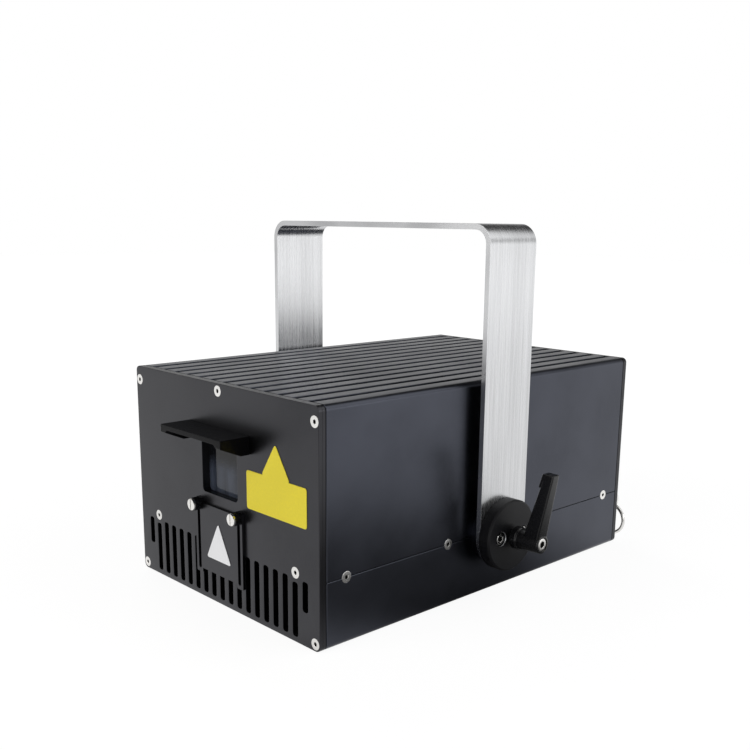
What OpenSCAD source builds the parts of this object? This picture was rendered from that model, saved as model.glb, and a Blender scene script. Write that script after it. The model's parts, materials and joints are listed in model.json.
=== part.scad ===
// Laser show projector: a black ribbed aluminium casing with a shuttered
// aperture, hung in a brushed steel yoke that two clamping levers lock.
// Front is -Y, right is +X, up is +Z. The origin is the centre of the base.

/* [Casing] */
// Width of the casing
body_w = 218; // [212:1:228]
// Depth of the casing over both end panels
body_d = 336; // [326:1:350]
// Height of the casing
body_h = 162; // [158:1:170]
// Radius of the long top edges and of the panel corners
corner_r = 4; // [3:0.5:5]
// Wall of the cover and of the tray
wall = 4; // [3:0.5:4.5]
// Thickness of the ribbed roof
roof_t = 7; // [6.5:0.5:8]
// Thickness of the tray floor
floor_t = 3.8; // [3:0.2:4.4]
// How far the joint between cover and tray lies below the tilt axis
seam_drop = 1.2; // [0.4:0.2:2.4]
// Width of the joint between cover and tray
seam_gap = 0.3; // [0.1:0.1:0.5]
// Thickness of the front panel
front_t = 6; // [5:0.5:7]
// Thickness of the rear panel
rear_t = 5; // [4:0.5:6]
// Width of the shadow gap behind each panel's rim
shadow_gap = 0.6; // [0.3:0.1:1]
// Depth of that shadow gap
shadow_depth = 1.2; // [0.8:0.1:1.6]
// Distance of the outermost roof grooves from the sides
groove_side_in = 16; // [14:0.5:20]
// Number of roof grooves
groove_count = 13; // [9:2:13]
// Width of a roof groove
groove_w = 5; // [3.5:0.5:6.5]
// Depth of a roof groove
groove_depth = 2.5; // [1.5:0.5:3]
// Thickness of the optical bench that divides the casing
bench_t = 12; // [11:0.5:13]
// Clearance round the bench
bench_gap = 0.2; // [0.1:0.1:0.4]

/* [Screws] */
// Shank of the countersunk casing screws
screw_d = 4; // [3:0.5:4]
// Head of the countersunk casing screws
screw_head_d = 8; // [7.5:0.5:8.5]
// Length of the end panel screws
end_screw_len = 18; // [16:1:22]
// Length of the side screws
side_screw_len = 14; // [12:1:16]
// Width of the hexagon socket across its corners
socket_d = 2.9; // [2.4:0.1:3.2]
// Depth of the hexagon socket
socket_depth = 1.8; // [1.4:0.1:2.2]
// Clearance round a screw
screw_gap = 0.1; // [0.05:0.05:0.15]
// Height of a screw port block
port_size = 12; // [11:0.5:13]
// Distance of the corner screws from the sides
corner_screw_in = 4.6; // [4.5:0.1:5]
// Distance of the lower corner screws from the base
low_screw_z = 5; // [5:0.1:5.4]
// Distance of the upper corner screws from the top
high_screw_in = 10.3; // [9:0.1:11]
// Distance of the top centre screw from the top
centre_screw_in = 5.4; // [5.2:0.1:5.8]
// Distance of the bench screws from the sides
bench_screw_in = 24.8; // [23:0.1:27]
// Height of the bench screws above the tilt axis
bench_screw_rise = 0.5; // [0:0.1:1]
// Distance of the first and last side screws from the casing's ends
side_screw_in = 22.8; // [20:0.1:30]

/* [Front] */
// Width of the light aperture
aperture_w = 42.6; // [38:0.2:43]
// Height of the light aperture
aperture_h = 38.8; // [35:0.2:40]
// Height of the aperture's lower edge
aperture_z = 81.3; // [80:0.1:82.5]
// Corner radius of the aperture
aperture_r = 3; // [2:0.5:4]
// Thickness of the window glass
glass_t = 2; // [1.5:0.5:3]
// How far the window laps over the aperture's edge
glass_lap = 3; // [2.5:0.5:4]
// Width of the window frame's rim
frame_rim = 5; // [4:0.5:6]
// Distance of the outermost vent slots from the sides
vent_side_in = 14.5; // [13.5:0.1:17]
// Number of vent slots each side of the middle one
vent_side_count = 9; // [8:1:9]
// Width of a vent slot
vent_w = 5.5; // [4.5:0.1:6]
// Corner radius of a vent slot
vent_r = 1.9; // [1.2:0.1:2.2]
// Lower end of the vent slots
vent_low_z = 3.9; // [3.9:0.1:5]
// How far the vent slots end below the tilt axis
vent_top_drop = 3.2; // [2.8:0.1:5]
// Lower end of the two short outer slots
vent_outer_low_z = 23.8; // [20:0.2:26]
// How far the slots under the bench screws stop short
vent_stop_short = 2.8; // [2.4:0.1:3.4]
// Width of the visor
visor_w = 73.5; // [70:0.5:78]
// Projection of the visor
visor_d = 23.5; // [18:0.5:26]
// Height of the visor's top face above the aperture
visor_rise = 10.9; // [10.3:0.1:13]
// Thickness of the visor's top plate
visor_t = 3.7; // [3:0.1:4.2]
// Thickness of the visor's cheeks
cheek_t = 4; // [3:0.5:4.5]
// Height of the cheeks at the panel
cheek_h = 12.7; // [10:0.1:13.2]
// Height of the cheeks at the visor's front edge
cheek_front_h = 5.7; // [4.6:0.1:7]
// Length of the cheeks' level lower edge
cheek_level = 7.2; // [4:0.2:10]
// Bevel between the visor's cheeks and its top plate
visor_bevel = 4; // [2:0.5:4.5]
// Width of the yellow plate
label_w = 64.2; // [58:0.2:66]
// Height of the yellow plate
label_h = 27; // [22:0.5:28]
// Sideways place of the yellow plate
label_x = 64.8; // [62:0.1:66]
// Height of the yellow plate's middle
label_z = 94; // [90:0.5:96]
// Thickness of the yellow plate
label_t = 0.4; // [0.3:0.1:0.8]
// Base of the yellow triangle
tri_w = 30.7; // [26:0.1:32]
// Height of the yellow triangle
tri_h = 23.5; // [20:0.5:25]

/* [Shutter] */
// Width of the shutter plate
shutter_w = 57.5; // [56:0.5:60]
// Thickness of the shutter plate
shutter_t = 2; // [1.5:0.1:2.5]
// Height of the shutter's middle part
shutter_h = 49.8; // [47:0.2:51]
// How far the shutter's middle part lies below the aperture
shutter_drop = 8.5; // [7.5:0.1:11]
// How far the rails stand past the middle, below and above
rail_over = 3.2; // [2.8:0.1:3.4]
// Width of the rails
rail_w = 7.4; // [7:0.1:8.5]
// Clearance of the thumb screws in the guide slots
guide_room = 0.15; // [0.1:0.05:0.3]
// Distance of the guide slots from the shutter's edges
guide_in = 4.15; // [3.95:0.05:4.5]
// Metal left at the ends of the guide slots
guide_end = 2.7; // [2.4:0.1:3]
// Running gap before and behind the shutter plate
shutter_gap = 0.1; // [0.05:0.05:0.15]
// Base of the shutter's triangular badge
badge_w = 30; // [24:0.5:32]
// Height of the shutter's triangular badge
badge_h = 27; // [22:0.5:28]
// Height of the badge above the shutter's lower edge
badge_rise = 10.8; // [8:0.2:13]
// Thickness of the badge
badge_t = 0.4; // [0.3:0.1:0.8]
// Shank of the thumb screws
thumb_d = 3; // [2.5:0.1:3]
// Diameter of the thumb screws' knurled collar
thumb_collar_d = 9.6; // [8:0.2:10]
// Length of the knurled collar
thumb_collar_len = 4.8; // [4:0.2:6]
// Diameter of the thumb screws' steel face
thumb_face_d = 8.8; // [7:0.2:9.2]
// Length of the thumb screws' steel face
thumb_face_len = 1.9; // [1.5:0.1:2.5]

/* [Yoke] */
// Gap between the casing's sides and the yoke's legs
yoke_gap = 7; // [6:0.5:12]
// Width of the yoke's flat bar
bar_w = 50; // [44:1:54]
// Thickness of the yoke's flat bar
bar_t = 4; // [3:0.5:5]
// Height of the yoke's top face
yoke_z = 271; // [262:1:290]
// Outer radius of the yoke's bends
bend_r = 14; // [10:1:18]
// Height of the tilt axis
pivot_z = 47.8; // [47.2:0.1:48.4]
// Place of the tilt axis along the casing
pivot_y = -1.5; // [-4:0.5:4]
// Hole for a hanging clamp in the yoke's top
clamp_hole_d = 12.5; // [10.5:0.5:13]
// Smaller fixing holes in the yoke's top
fixing_hole_d = 8.5; // [6.5:0.5:10.5]
// Distance of the smaller holes from the middle
fixing_hole_x = 45; // [35:1:60]
// Diameter of the pivot discs
disc_d = 53.5; // [51:0.5:58]
// Thickness of the pivot discs
disc_t = 9.5; // [7:0.5:11]
// Bevel round the pivot discs
disc_bevel = 1.3; // [0.6:0.1:2]
// Distance of the disc screws from the tilt axis
disc_screw_x = 12.8; // [12:0.1:14.5]
// Head of the disc screws
disc_head_d = 8.5; // [7.5:0.1:9]
// Height of the disc screws' head
disc_head_h = 5; // [4:0.5:5.5]
// Shank of the disc screws
disc_screw_d = 5; // [4:0.5:5]
// Hexagon socket of the disc screws, across its corners
disc_socket_d = 4.6; // [3.5:0.1:5]
// Clearance round the disc screws' heads
disc_head_gap = 0.9; // [0.3:0.1:1]
// Diameter of the pivot bosses on the casing
boss_d = 44; // [38:1:46]
// Thickness of the friction washers
washer_t = 1; // [0.8:0.1:1.5]
// Gap between sliding faces
slide_gap = 0.1; // [0.05:0.05:0.2]

/* [Clamping levers] */
// Diameter of the clamping stud
stud_d = 8; // [6:0.5:8.5]
// Running clearance of the stud in its holes
stud_gap = 0.05; // [0.03:0.01:0.08]
// How deep the stud enters the bench
stud_bite = 18; // [12:1:24]
// Diameter of the lever's metal core
core_d = 10; // [9:0.5:10.5]
// Height of the core's collar over the disc
core_collar = 3.4; // [2:0.2:5]
// Room left under the retaining screw when the handle is lifted
lift_room = 1.5; // [1:0.1:2.5]
// Height of the handle's hub
hub_len = 24.2; // [23:0.2:28]
// Diameter of the hub's flared foot
hub_foot_d = 17; // [15:0.5:19]
// Diameter of the hub's waist
hub_waist_d = 15.2; // [14:0.2:16]
// Diameter of the hub's top
hub_top_d = 13.4; // [12.8:0.2:15]
// Reach of the handle's tip from the axis
handle_reach = 53; // [44:1:63]
// How far the handle's tip leans out from the hub's top
handle_lean = 9; // [4:0.5:14]
// Width of the handle's arm at the hub
arm_base_w = 11.6; // [9:0.2:12.6]
// Width of the handle's arm at the tip
arm_tip_w = 7.4; // [6:0.2:9]
// Thickness of the handle's arm at the tip
arm_tip_t = 8; // [6:0.5:10]
// Thickness of the handle's arm at the hub
arm_base_t = 13; // [9:0.5:14]
// Length of the raised lip at the arm's tip
tip_lip_len = 11; // [6:1:14]
// Thickness of that lip
tip_lip_t = 1.3; // [0.6:0.1:2]
// Neck of the retaining screw in the hub
neck_d = 5; // [4:0.5:5.5]
// Head of the retaining screw in the hub
cap_d = 9.4; // [8.4:0.2:9.6]
// Height of the retaining screw's head
cap_h = 3; // [2.4:0.2:3.6]
// Travel of the handle when it is lifted to re-index
lift_travel = 3.5; // [2.5:0.5:4]

/* [Safety ring] */
// Distance of the safety ring's middle from the side
ring_side_in = 13; // [12:0.5:19]
// Outer diameter of the safety ring
ring_od = 28.8; // [24:0.2:29]
// Wire of the safety ring
ring_wire = 3.2; // [2.5:0.1:3.6]
// Height of the ring's lowest point
ring_low_z = 1.3; // [1:0.1:4]
// Distance of the ring from the rear panel
ring_y = 11.8; // [11.4:0.1:14]
// Wire of the eye bolt
eye_wire = 4; // [3:0.5:4.5]
// Inner diameter of the eye
eye_id = 10; // [9:0.5:11]
// Thread of the eye bolt
eye_thread_d = 6; // [5:0.5:6]

/* [Rear] */
// Distance of the upper row, with display and knob, from the top
display_row_in = 34; // [32:1:38]
// How far the row of sockets lies below that row
socket_row_drop = 43; // [38:1:46]
// Spacing of the sockets
socket_pitch = 32; // [30:0.5:33]
// Distance of the first socket from the side
socket_side_in = 27; // [23:0.5:31]
// Rim of a socket's flange beside its body
flange_side = 1.2; // [0.8:0.1:1.7]
// Rim of a socket's flange above and below its body
flange_end = 3.7; // [3:0.1:4.2]
// Thickness of a socket flange
flange_t = 2; // [1.5:0.1:3]
// Diameter of a socket body
barrel_d = 23.6; // [20:0.2:23.6]
// Depth of a socket body behind the panel
barrel_len = 18; // [12:0.5:20]
// Width of the display window
display_w = 44; // [36:1:50]
// Height of the display window
display_h = 24; // [18:1:28]
// Diameter of the menu knob
knob_d = 16; // [12:0.5:18]
// Length of the menu knob
knob_len = 12; // [9:0.5:14]
// Diameter of the menu knob's shaft
shaft_d = 6; // [5:0.5:6]
// Travel of the menu knob when it is pressed
knob_travel = 1; // [0.5:0.1:1.2]
// Diameter of the key switch
key_switch_d = 19; // [16:0.5:22]
// Width of the key's grip
key_w = 20; // [16:1:24]
// Height of the mains inlet
power_z = 23.5; // [22:0.5:25]
// Sideways place of the display window
display_x = -50; // [-54:1:-48]
// Sideways place of the menu knob
knob_x = -6; // [-10:1:2]
// Sideways place of the scan signal socket
signal_x = 50; // [46:1:56]
// Width of the scan signal socket's plate
signal_w = 53; // [50:0.5:56]
// Height of the scan signal socket's plate
signal_h = 12.5; // [11:0.5:14]
// Number of rear vent slots
rear_vent_count = 11; // [7:1:11]
// Sideways place of the first rear vent slot
rear_vent_x = -45; // [-48:0.5:-42]
// Lower end of the rear vent slots
rear_vent_low_z = 8; // [7:0.5:12]
// Upper end of the rear vent slots
rear_vent_high_z = 39; // [34:0.5:40]

/* [Light path] */
// Height of the first scanning mirror above the second
scan_rise = 16.3; // [14.5:0.1:18]
// Sideways place of the folding mirrors
beam_x = -45; // [-47:0.5:-43]
// Distance of the scanning mirrors from the front face
scan_in = 33; // [31:0.5:35]
// How far the leaving beam lies below the aperture's middle
scan_drop = 2; // [0:0.5:3]
// Spacing of the laser modules
laser_pitch = 50; // [47:1:52]
// Length of a laser module
laser_len = 100; // [90:1:104]
// Width of a laser module
laser_w = 44; // [38:1:46]
// Height of a laser module
laser_h = 75; // [72:1:84]
// Diameter of the folding mirrors
mirror_d = 18; // [14:1:20]
// Thickness of the folding mirrors
mirror_t = 2; // [1:0.5:3]
// Width of a mirror holder
holder_w = 26; // [24:1:28]
// Thickness of a mirror holder
holder_t = 6; // [5:0.5:8]
// Diameter of a scanning motor
motor_d = 16; // [13:0.5:16]
// Length of a scanning motor
motor_len = 38; // [34:1:42]
// Length of the beam stop's arm
stop_arm = 29; // [27:0.5:30]
// Angle of that arm above level when it blocks the beam
stop_lean = 35; // [30:1:38]

/* [Blowers and supply] */
// Width of a blower
blower_w = 75; // [68:1:75]
// Height of a blower
blower_h = 30; // [28:1:34]
// Distance of the blowers from the middle
blower_x = 50; // [46:1:54]
// Diameter of a blower's rotor
rotor_d = 52; // [44:1:54]
// Height of a blower's rotor
rotor_h = 21; // [16:1:21]
// Number of blades on a rotor
blade_count = 20; // [12:1:28]
// Gap between the heat sink and the tray's sides
sink_side_gap = 10; // [5:1:30]
// Gap between the blowers and the heat sink
sink_gap = 11.7; // [4:0.1:20]
// Gap between the heat sink and the power supply
supply_gap = 10; // [4:1:20]
// Height of the heat sink
sink_h = 26; // [18:1:30]
// Number of heat sink fins
fin_count = 19; // [11:1:25]
// Width of the power supply
supply_w = 120; // [100:1:124]
// Length of the power supply
supply_len = 80; // [60:1:84]
// Height of the power supply
supply_h = 30; // [24:1:34]
// Distance of the power supply from the rear panel
supply_rear_in = 28; // [22:1:36]

/* [Hidden] */
$fn = 64;

// Colours
black_coat = [0.10, 0.10, 0.11];
black_deep = [0.05, 0.05, 0.055];
steel = [0.78, 0.78, 0.77];
bare_alu = [0.66, 0.67, 0.69];
yellow = [0.98, 0.85, 0.12];
board_green = [0.06, 0.30, 0.16];

// Faces and edges of the casing
front_y = -body_d / 2;
rear_y = body_d / 2;
side_x = body_w / 2;
shell_y = front_y + front_t;
shell_len = body_d - front_t - rear_t;
bench_z = pivot_z - bench_t / 2;
bench_top = pivot_z + bench_t / 2;
inner_w = body_w - 2 * wall;
roof_z = body_h - roof_t;
seam_z = pivot_z - seam_drop;
rib_pitch = (body_w - 2 * groove_side_in) / (groove_count - 1);
port_drop = 4;
bench_screw_x = side_x - bench_screw_in;
bench_screw_z = pivot_z + bench_screw_rise;
end_screws = [
    for (s = [-1, 1]) [s * (side_x - corner_screw_in), body_h - high_screw_in],
    for (s = [-1, 1]) [s * (side_x - corner_screw_in), low_screw_z],
    for (s = [-1, 1]) [s * bench_screw_x, bench_screw_z],
    [0, body_h - centre_screw_in]];
side_screw_pitch = (body_d - 2 * side_screw_in) / 3;
side_screw_ys = [for (i = [-1.5 : 1 : 1.5]) i * side_screw_pitch];
screw_tip_room = 0.5;
vent_pitch = (side_x - vent_side_in) / vent_side_count;
vent_high_z = pivot_z - vent_top_drop;

// Aperture and shutter
aperture_mid_z = aperture_z + aperture_h / 2;
visor_z = aperture_z + aperture_h + visor_rise;
label_r = 2;
tri_r = 1.6;
tri_lap = 0.5;
shutter_high_z = aperture_z - shutter_drop;
shutter_low_z = shutter_high_z - shutter_h;
rail_r = 1;
badge_z = shutter_low_z + badge_rise;
badge_r = 1.4;
guide_w = thumb_d + 2 * guide_room;
guide_x = shutter_w / 2 - guide_in;
shutter_face_y = front_y - shutter_gap - shutter_t;
guide_low_z = shutter_low_z - rail_over + guide_end;
guide_high_z = shutter_high_z + rail_over - guide_end;
thumb_z = guide_high_z - guide_w / 2;
thumb_bite = front_t - screw_tip_room;
thumb_slot_w = 1;
thumb_slot_depth = 0.8;

// Yoke and levers
yoke_in = side_x + yoke_gap;
yoke_x = yoke_in + bar_t;
yoke_w = 2 * yoke_x;
bend_leg = 10;
arch_z = yoke_z - bend_r - bend_leg;
boss_t = yoke_gap - washer_t - slide_gap;
disc_face = yoke_x + disc_t;
core_x = disc_face + slide_gap;
hub_x = core_x + core_collar;
hub_top = hub_x + hub_len;
web_t = 3;
seat_gap = 0.2;
cap_x = hub_top - cap_h;
core_top = cap_x - lift_room - lift_travel - web_t - seat_gap;
core_len = core_top - hub_x;
hub_foot_h = 5.5;
disc_socket_depth = 2.6;
head_sink = 0.4;

// Safety ring and its eye bolt
ring_x = side_x - ring_side_in;
ring_r = (ring_od - ring_wire) / 2;
ring_mid_z = ring_low_z + ring_od / 2;
ring_pivot_z = ring_mid_z + ring_r;
ring_mid_y = rear_y + ring_y;
eye_r = (eye_id + eye_wire) / 2;
ring_rest_gap = 0.1;
eye_mid_z = ring_pivot_z - ring_wire / 2 - ring_rest_gap + eye_id / 2;
eye_flange_d = 12;
eye_flange_t = 3;
eye_bite = 6;

// Clearances: a turning or pressed fit, a stud in a plain hole
fit_gap = 0.05;
stud_room = 0.3;
passage_room = 0.5;
// How far a cutting shape runs past the face it cuts, how far joined shapes merge,
// and the least difference between two faces that must not coincide
over = 1;
merge = 0.1;
skin = 0.01;

// Rear sockets
display_row_z = body_h - display_row_in;
socket_row_z = display_row_z - socket_row_drop;
first_socket_x = socket_side_in - side_x;
flange_w = barrel_d + 2 * flange_side;
flange_h = barrel_d + 2 * flange_end;
data_socket_xs = [first_socket_x, first_socket_x + socket_pitch];
network_x = first_socket_x + 2 * socket_pitch;
interlock_x = first_socket_x + 3 * socket_pitch;
key_x = first_socket_x + 4.2 * socket_pitch;
rear_in_y = rear_y - rear_t;
mouth_d = barrel_d - 4.6;
mouth_depth = 14;
pin_recess = 6;
pin_d = 2;
flange_hole_d = 3.2;
flange_hole_in = 3.5;
network_mouth = [12, 8, 12];
signal_shell_w = signal_w - 14;
signal_shell_h = signal_h - 4;
signal_shell_out = 6;
signal_shell_wall = 1;
key_d = 8;
key_stem_w = 6;
key_t = 2;
key_bore_depth = 9;
shaft_out = 7;
shaft_in = 6;

// Light path inside the casing
scan_y = front_y + scan_in;
scan_z = aperture_mid_z - scan_drop;
beam_z = scan_z + scan_rise;
laser_rear_in = 133;
laser_mid_y = rear_y - rear_t - laser_rear_in;
laser_ys = [for (i = [-1 : 1]) laser_mid_y + i * laser_pitch];
laser_x = -15;
snout_d = 14;
snout_len = 6;
mirror_places = [for (y = laser_ys) [y, 45], [scan_y, -45]];
galvo_shaft_d = 3;
shaft_bore = 6;
galvo_mirror_t = 1.5;
block_w = motor_d + 12;
block_len = 26;
block_in = 18;
block_side_in = 20;
motor_x_in = 12;
motor_y_in = 16;
stop_in = 49;
stop_x = beam_x - stop_arm * cos(stop_lean);
stop_y = scan_y + stop_in;
stop_z = beam_z - stop_arm * sin(stop_lean);
stop_shaft_d = 4;
stop_shaft_len = 12;
vane_off = 4;
vane_t = 1.2;
vane_d = 14;
stop_motor_w = 22;
stop_motor_len = 26;
stop_motor_over = 10;

// Circuit boards beside and behind the lasers
board_t = 1.6;
board_side_in = 17;
board_rear_in = 32;
board_top_gap = 13.2;
board_w = inner_w - 2 * board_side_in;
board_h = roof_z - bench_top - board_top_gap;
driver_side_in = 9;
driver_y = -60;
driver_len = 110;
driver_h = 70;
angle_in = 10;
angle_w = 10;
angle_len = 90;
angle_h = 24;

// Blowers, heat sink and supply under the bench
blower_gap = 0.3;
blower_y = shell_y + blower_gap + blower_w / 2;
blower_wall = 1.8;
spindle_d = 4;
sink_w = inner_w - 2 * sink_side_gap;
sink_y = blower_y + blower_w / 2 + sink_gap;
supply_x = 5;
supply_y = rear_y - rear_t - supply_rear_in - supply_len;
sink_len = supply_y - supply_gap - sink_y;
sink_base_t = 4;
fin_t = 1.5;

// A flat rectangle with round corners, centred
module round_rect(w, h, r) {
    square([w - 2 * r, h], center = true);
    square([w, h - 2 * r], center = true);
    for (x = [-1, 1], z = [-1, 1])
        translate([x * (w / 2 - r), z * (h / 2 - r)]) circle(r);
}

// Extrudes a front-view outline from y0 rearwards
module along_y(y0, len) {
    translate([0, y0 + len, 0]) rotate([90, 0, 0]) linear_extrude(len) children();
}

// A cylinder along +X, or a cone when d2 is given
module rod_x(x0, len, d, d2 = undef) {
    translate([x0, 0, 0]) rotate([0, 90, 0])
        cylinder(h = len, d1 = d, d2 = is_undef(d2) ? d : d2);
}

// A cylinder along +Y
module rod_y(y0, len, d) {
    translate([0, y0, 0]) rotate([-90, 0, 0]) cylinder(h = len, d = d);
}

// Puts a right-hand piece on the tilt axis, or its mirror image when s is -1
module on_side(s) {
    mirror([s < 0 ? 1 : 0, 0, 0]) translate([0, pivot_y, pivot_z]) children();
}

// A triangle with rounded corners that stands on its base
module round_triangle(w, h, r) {
    hull() {
        translate([-w / 2 + r, r]) circle(r, $fn = 24);
        translate([w / 2 - r, r]) circle(r, $fn = 24);
        translate([0, h - r]) circle(r, $fn = 24);
    }
}

// Countersunk screw whose head is flush at z = 0 and points down
module flat_screw(len) {
    head_h = (screw_head_d - screw_d) / 2;
    difference() {
        union() {
            translate([0, 0, -head_h]) cylinder(h = head_h, d1 = screw_d, d2 = screw_head_d);
            translate([0, 0, -len]) cylinder(h = len, d = screw_d);
        }
        translate([0, 0, -socket_depth]) cylinder(h = socket_depth + over, d = socket_d, $fn = 6);
    }
}

// The hole that such a screw needs
module screw_cut(len) {
    head_h = (screw_head_d - screw_d) / 2;
    hole_d = screw_d + 2 * screw_gap;
    head_d = screw_head_d + 2 * screw_gap;
    translate([0, 0, -len - screw_tip_room]) cylinder(h = len + over, d = hole_d);
    translate([0, 0, -head_h]) cylinder(h = head_h, d1 = hole_d, d2 = head_d);
    translate([0, 0, -skin]) cylinder(h = over, d = head_d);
}

// The straight part of that hole alone
module screw_hole(len) {
    translate([0, 0, -len - screw_tip_room]) cylinder(h = len, d = screw_d + 2 * screw_gap);
}

module at_front_screws() {
    for (p = end_screws) translate([p[0], front_y, p[1]]) rotate([90, 0, 0]) children();
}

module at_rear_screws() {
    for (p = end_screws) translate([p[0], rear_y, p[1]]) rotate([-90, 0, 0]) children();
}

module at_side_screws() {
    for (s = [-1, 1], y = side_screw_ys)
        translate([s * side_x, y, seam_z]) rotate([0, s * 90, 0]) children();
}

// Panel plate with the shadow gap round its inner rim
module panel_blank(outer_y, inner_y, t) {
    along_y(outer_y, t - shadow_gap) translate([0, body_h / 2])
        round_rect(body_w, body_h, corner_r);
    along_y(inner_y, shadow_gap) translate([0, body_h / 2])
        round_rect(body_w - 2 * shadow_depth, body_h - 2 * shadow_depth, corner_r);
}

// The outermost slots start higher, and those under the bench screws stop lower
function vent_bottom(i) = abs(i) == vent_side_count ? vent_outer_low_z : vent_low_z;
function vent_top(i) = abs(abs(i) * vent_pitch - bench_screw_x) < vent_pitch / 2
    ? vent_high_z - vent_stop_short : vent_high_z;

module front_vents() {
    for (i = [-vent_side_count : vent_side_count])
        translate([i * vent_pitch, (vent_bottom(i) + vent_top(i)) / 2])
            round_rect(vent_w, vent_top(i) - vent_bottom(i), vent_r);
}

module aperture_outline() {
    translate([0, aperture_mid_z]) round_rect(aperture_w, aperture_h, aperture_r);
}

module front_panel() {
    color(black_coat) difference() {
        panel_blank(front_y, shell_y - shadow_gap, front_t);
        along_y(front_y - over, front_t + 2 * over) {
            front_vents();
            aperture_outline();
        }
        at_front_screws() screw_cut(end_screw_len);
        for (s = [-1, 1]) translate([s * guide_x, 0, thumb_z])
            rod_y(front_y - over, thumb_bite + over + merge, thumb_d + 2 * fit_gap);
    }
}

module shell_outline() {
    translate([0, body_h / 2]) round_rect(body_w, body_h, corner_r);
}

// Lengthwise bars that take the corner screws of both end panels
module port_blocks(z) {
    for (s = [-1, 1])
        translate([s * (side_x - corner_screw_in), z]) square(port_size, center = true);
}

// Section of the cover, above the joint
module cover_section() {
    difference() {
        union() {
            difference() {
                shell_outline();
                translate([-inner_w / 2, -over]) square([inner_w, roof_z + over]);
            }
            intersection() {
                shell_outline();
                union() {
                    port_blocks(body_h - high_screw_in);
                    translate([-port_size / 2, roof_z - port_drop])
                        square([port_size, port_drop + over]);
                }
            }
        }
        translate([-body_w, -over]) square([2 * body_w, seam_z + seam_gap / 2 + over]);
        for (i = [0 : groove_count - 1])
            translate([(i - (groove_count - 1) / 2) * rib_pitch - groove_w / 2, body_h - groove_depth])
                square([groove_w, groove_depth + over]);
    }
}

// Section of the tray, below the joint
module tray_section() {
    difference() {
        union() {
            difference() {
                shell_outline();
                translate([-inner_w / 2, floor_t]) square([inner_w, body_h]);
            }
            intersection() {
                shell_outline();
                port_blocks(low_screw_z);
            }
        }
        translate([-body_w, seam_z - seam_gap / 2]) square([2 * body_w, body_h]);
    }
}

// Holes that cover and tray share: side screws, stud passages
module shell_cuts() {
    at_side_screws() screw_cut(2 * wall);
    for (s = [-1, 1]) on_side(s)
        rod_x(side_x - wall - over, wall + 2 * over, stud_d + 2 * passage_room);
    at_front_screws() screw_hole(end_screw_len);
    at_rear_screws() screw_hole(end_screw_len);
}

module top_cover() {
    color(black_coat) difference() {
        along_y(shell_y, shell_len) cover_section();
        shell_cuts();
    }
}

module base_tray() {
    color(black_coat) difference() {
        along_y(shell_y, shell_len) tray_section();
        shell_cuts();
    }
}

module optical_bench() {
    bench_w = inner_w - 2 * bench_gap;
    bench_len = shell_len - 2 * bench_gap;
    color(bare_alu) difference() {
        translate([-bench_w / 2, shell_y + bench_gap, bench_z]) cube([bench_w, bench_len, bench_t]);
        at_side_screws() screw_cut(side_screw_len);
        at_front_screws() screw_cut(end_screw_len);
        at_rear_screws() screw_cut(end_screw_len);
        for (s = [-1, 1]) on_side(s)
            rod_x(side_x - wall - stud_bite - over, stud_bite + 2 * over, stud_d + 2 * stud_gap);
    }
}

module front_screws() {
    color(steel) at_front_screws() flat_screw(end_screw_len);
}

module rear_screws() {
    color(steel) at_rear_screws() flat_screw(end_screw_len);
}

module side_screws() {
    color(steel) at_side_screws() flat_screw(side_screw_len);
}

// Hood over the aperture: a top plate with two cheeks
module visor_section() {
    half = visor_w / 2;
    inner = half - cheek_t;
    under = visor_z - visor_t;
    foot = visor_z - cheek_h;
    polygon([[-half, foot], [-half, visor_z], [half, visor_z], [half, foot],
        [inner, foot], [inner, under - visor_bevel], [inner - visor_bevel, under],
        [-inner + visor_bevel, under], [-inner, under - visor_bevel], [-inner, foot]]);
}

module visor() {
    color(black_deep) difference() {
        along_y(front_y - visor_d, visor_d) visor_section();
        translate([-visor_w, 0, 0]) rotate([90, 0, 90]) linear_extrude(2 * visor_w)
            polygon([[front_y - visor_d - over, visor_z - cheek_h - over],
                [front_y - visor_d - over, visor_z - cheek_front_h],
                [front_y - visor_d, visor_z - cheek_front_h],
                [front_y - cheek_level, visor_z - cheek_h],
                [front_y - cheek_level, visor_z - cheek_h - over]]);
    }
}

module window_glass() {
    w = aperture_w + 2 * glass_lap;
    h = aperture_h + 2 * glass_lap;
    color([0.45, 0.52, 0.60, 0.5]) along_y(shell_y, glass_t)
        translate([0, aperture_mid_z]) square([w, h], center = true);
}

// Frame that holds the glass against the back of the front panel
module window_frame() {
    w = aperture_w + 2 * glass_lap + 2 * fit_gap;
    h = aperture_h + 2 * glass_lap + 2 * fit_gap;
    color(black_deep) difference() {
        along_y(shell_y, glass_t + frame_rim / 2) translate([0, aperture_mid_z])
            square([w + 2 * frame_rim, h + 2 * frame_rim], center = true);
        along_y(shell_y - over, glass_t + fit_gap + over) translate([0, aperture_mid_z])
            square([w, h], center = true);
        along_y(shell_y, glass_t + frame_rim + over) aperture_outline();
    }
}

module front_label() {
    color(yellow) along_y(front_y - label_t, label_t) {
        translate([label_x, label_z]) round_rect(label_w, label_h, label_r);
        translate([label_x, label_z + label_h / 2 - tri_lap]) round_triangle(tri_w, tri_h, tri_r);
    }
}

// Shutter that slides up over the aperture on two thumb screws
module shutter_outline() {
    mid_h = shutter_high_z - shutter_low_z;
    difference() {
        union() {
            translate([-shutter_w / 2, shutter_low_z]) square([shutter_w, mid_h]);
            for (s = [-1, 1])
                translate([s * (shutter_w - rail_w) / 2, shutter_low_z + mid_h / 2])
                    round_rect(rail_w, mid_h + 2 * rail_over, rail_r);
        }
        for (s = [-1, 1])
            translate([s * guide_x, (guide_low_z + guide_high_z) / 2])
                round_rect(guide_w, guide_high_z - guide_low_z, guide_w / 2 - skin);
    }
}

module shutter_plate() {
    color(black_coat) along_y(shutter_face_y, shutter_t) shutter_outline();
}

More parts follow.
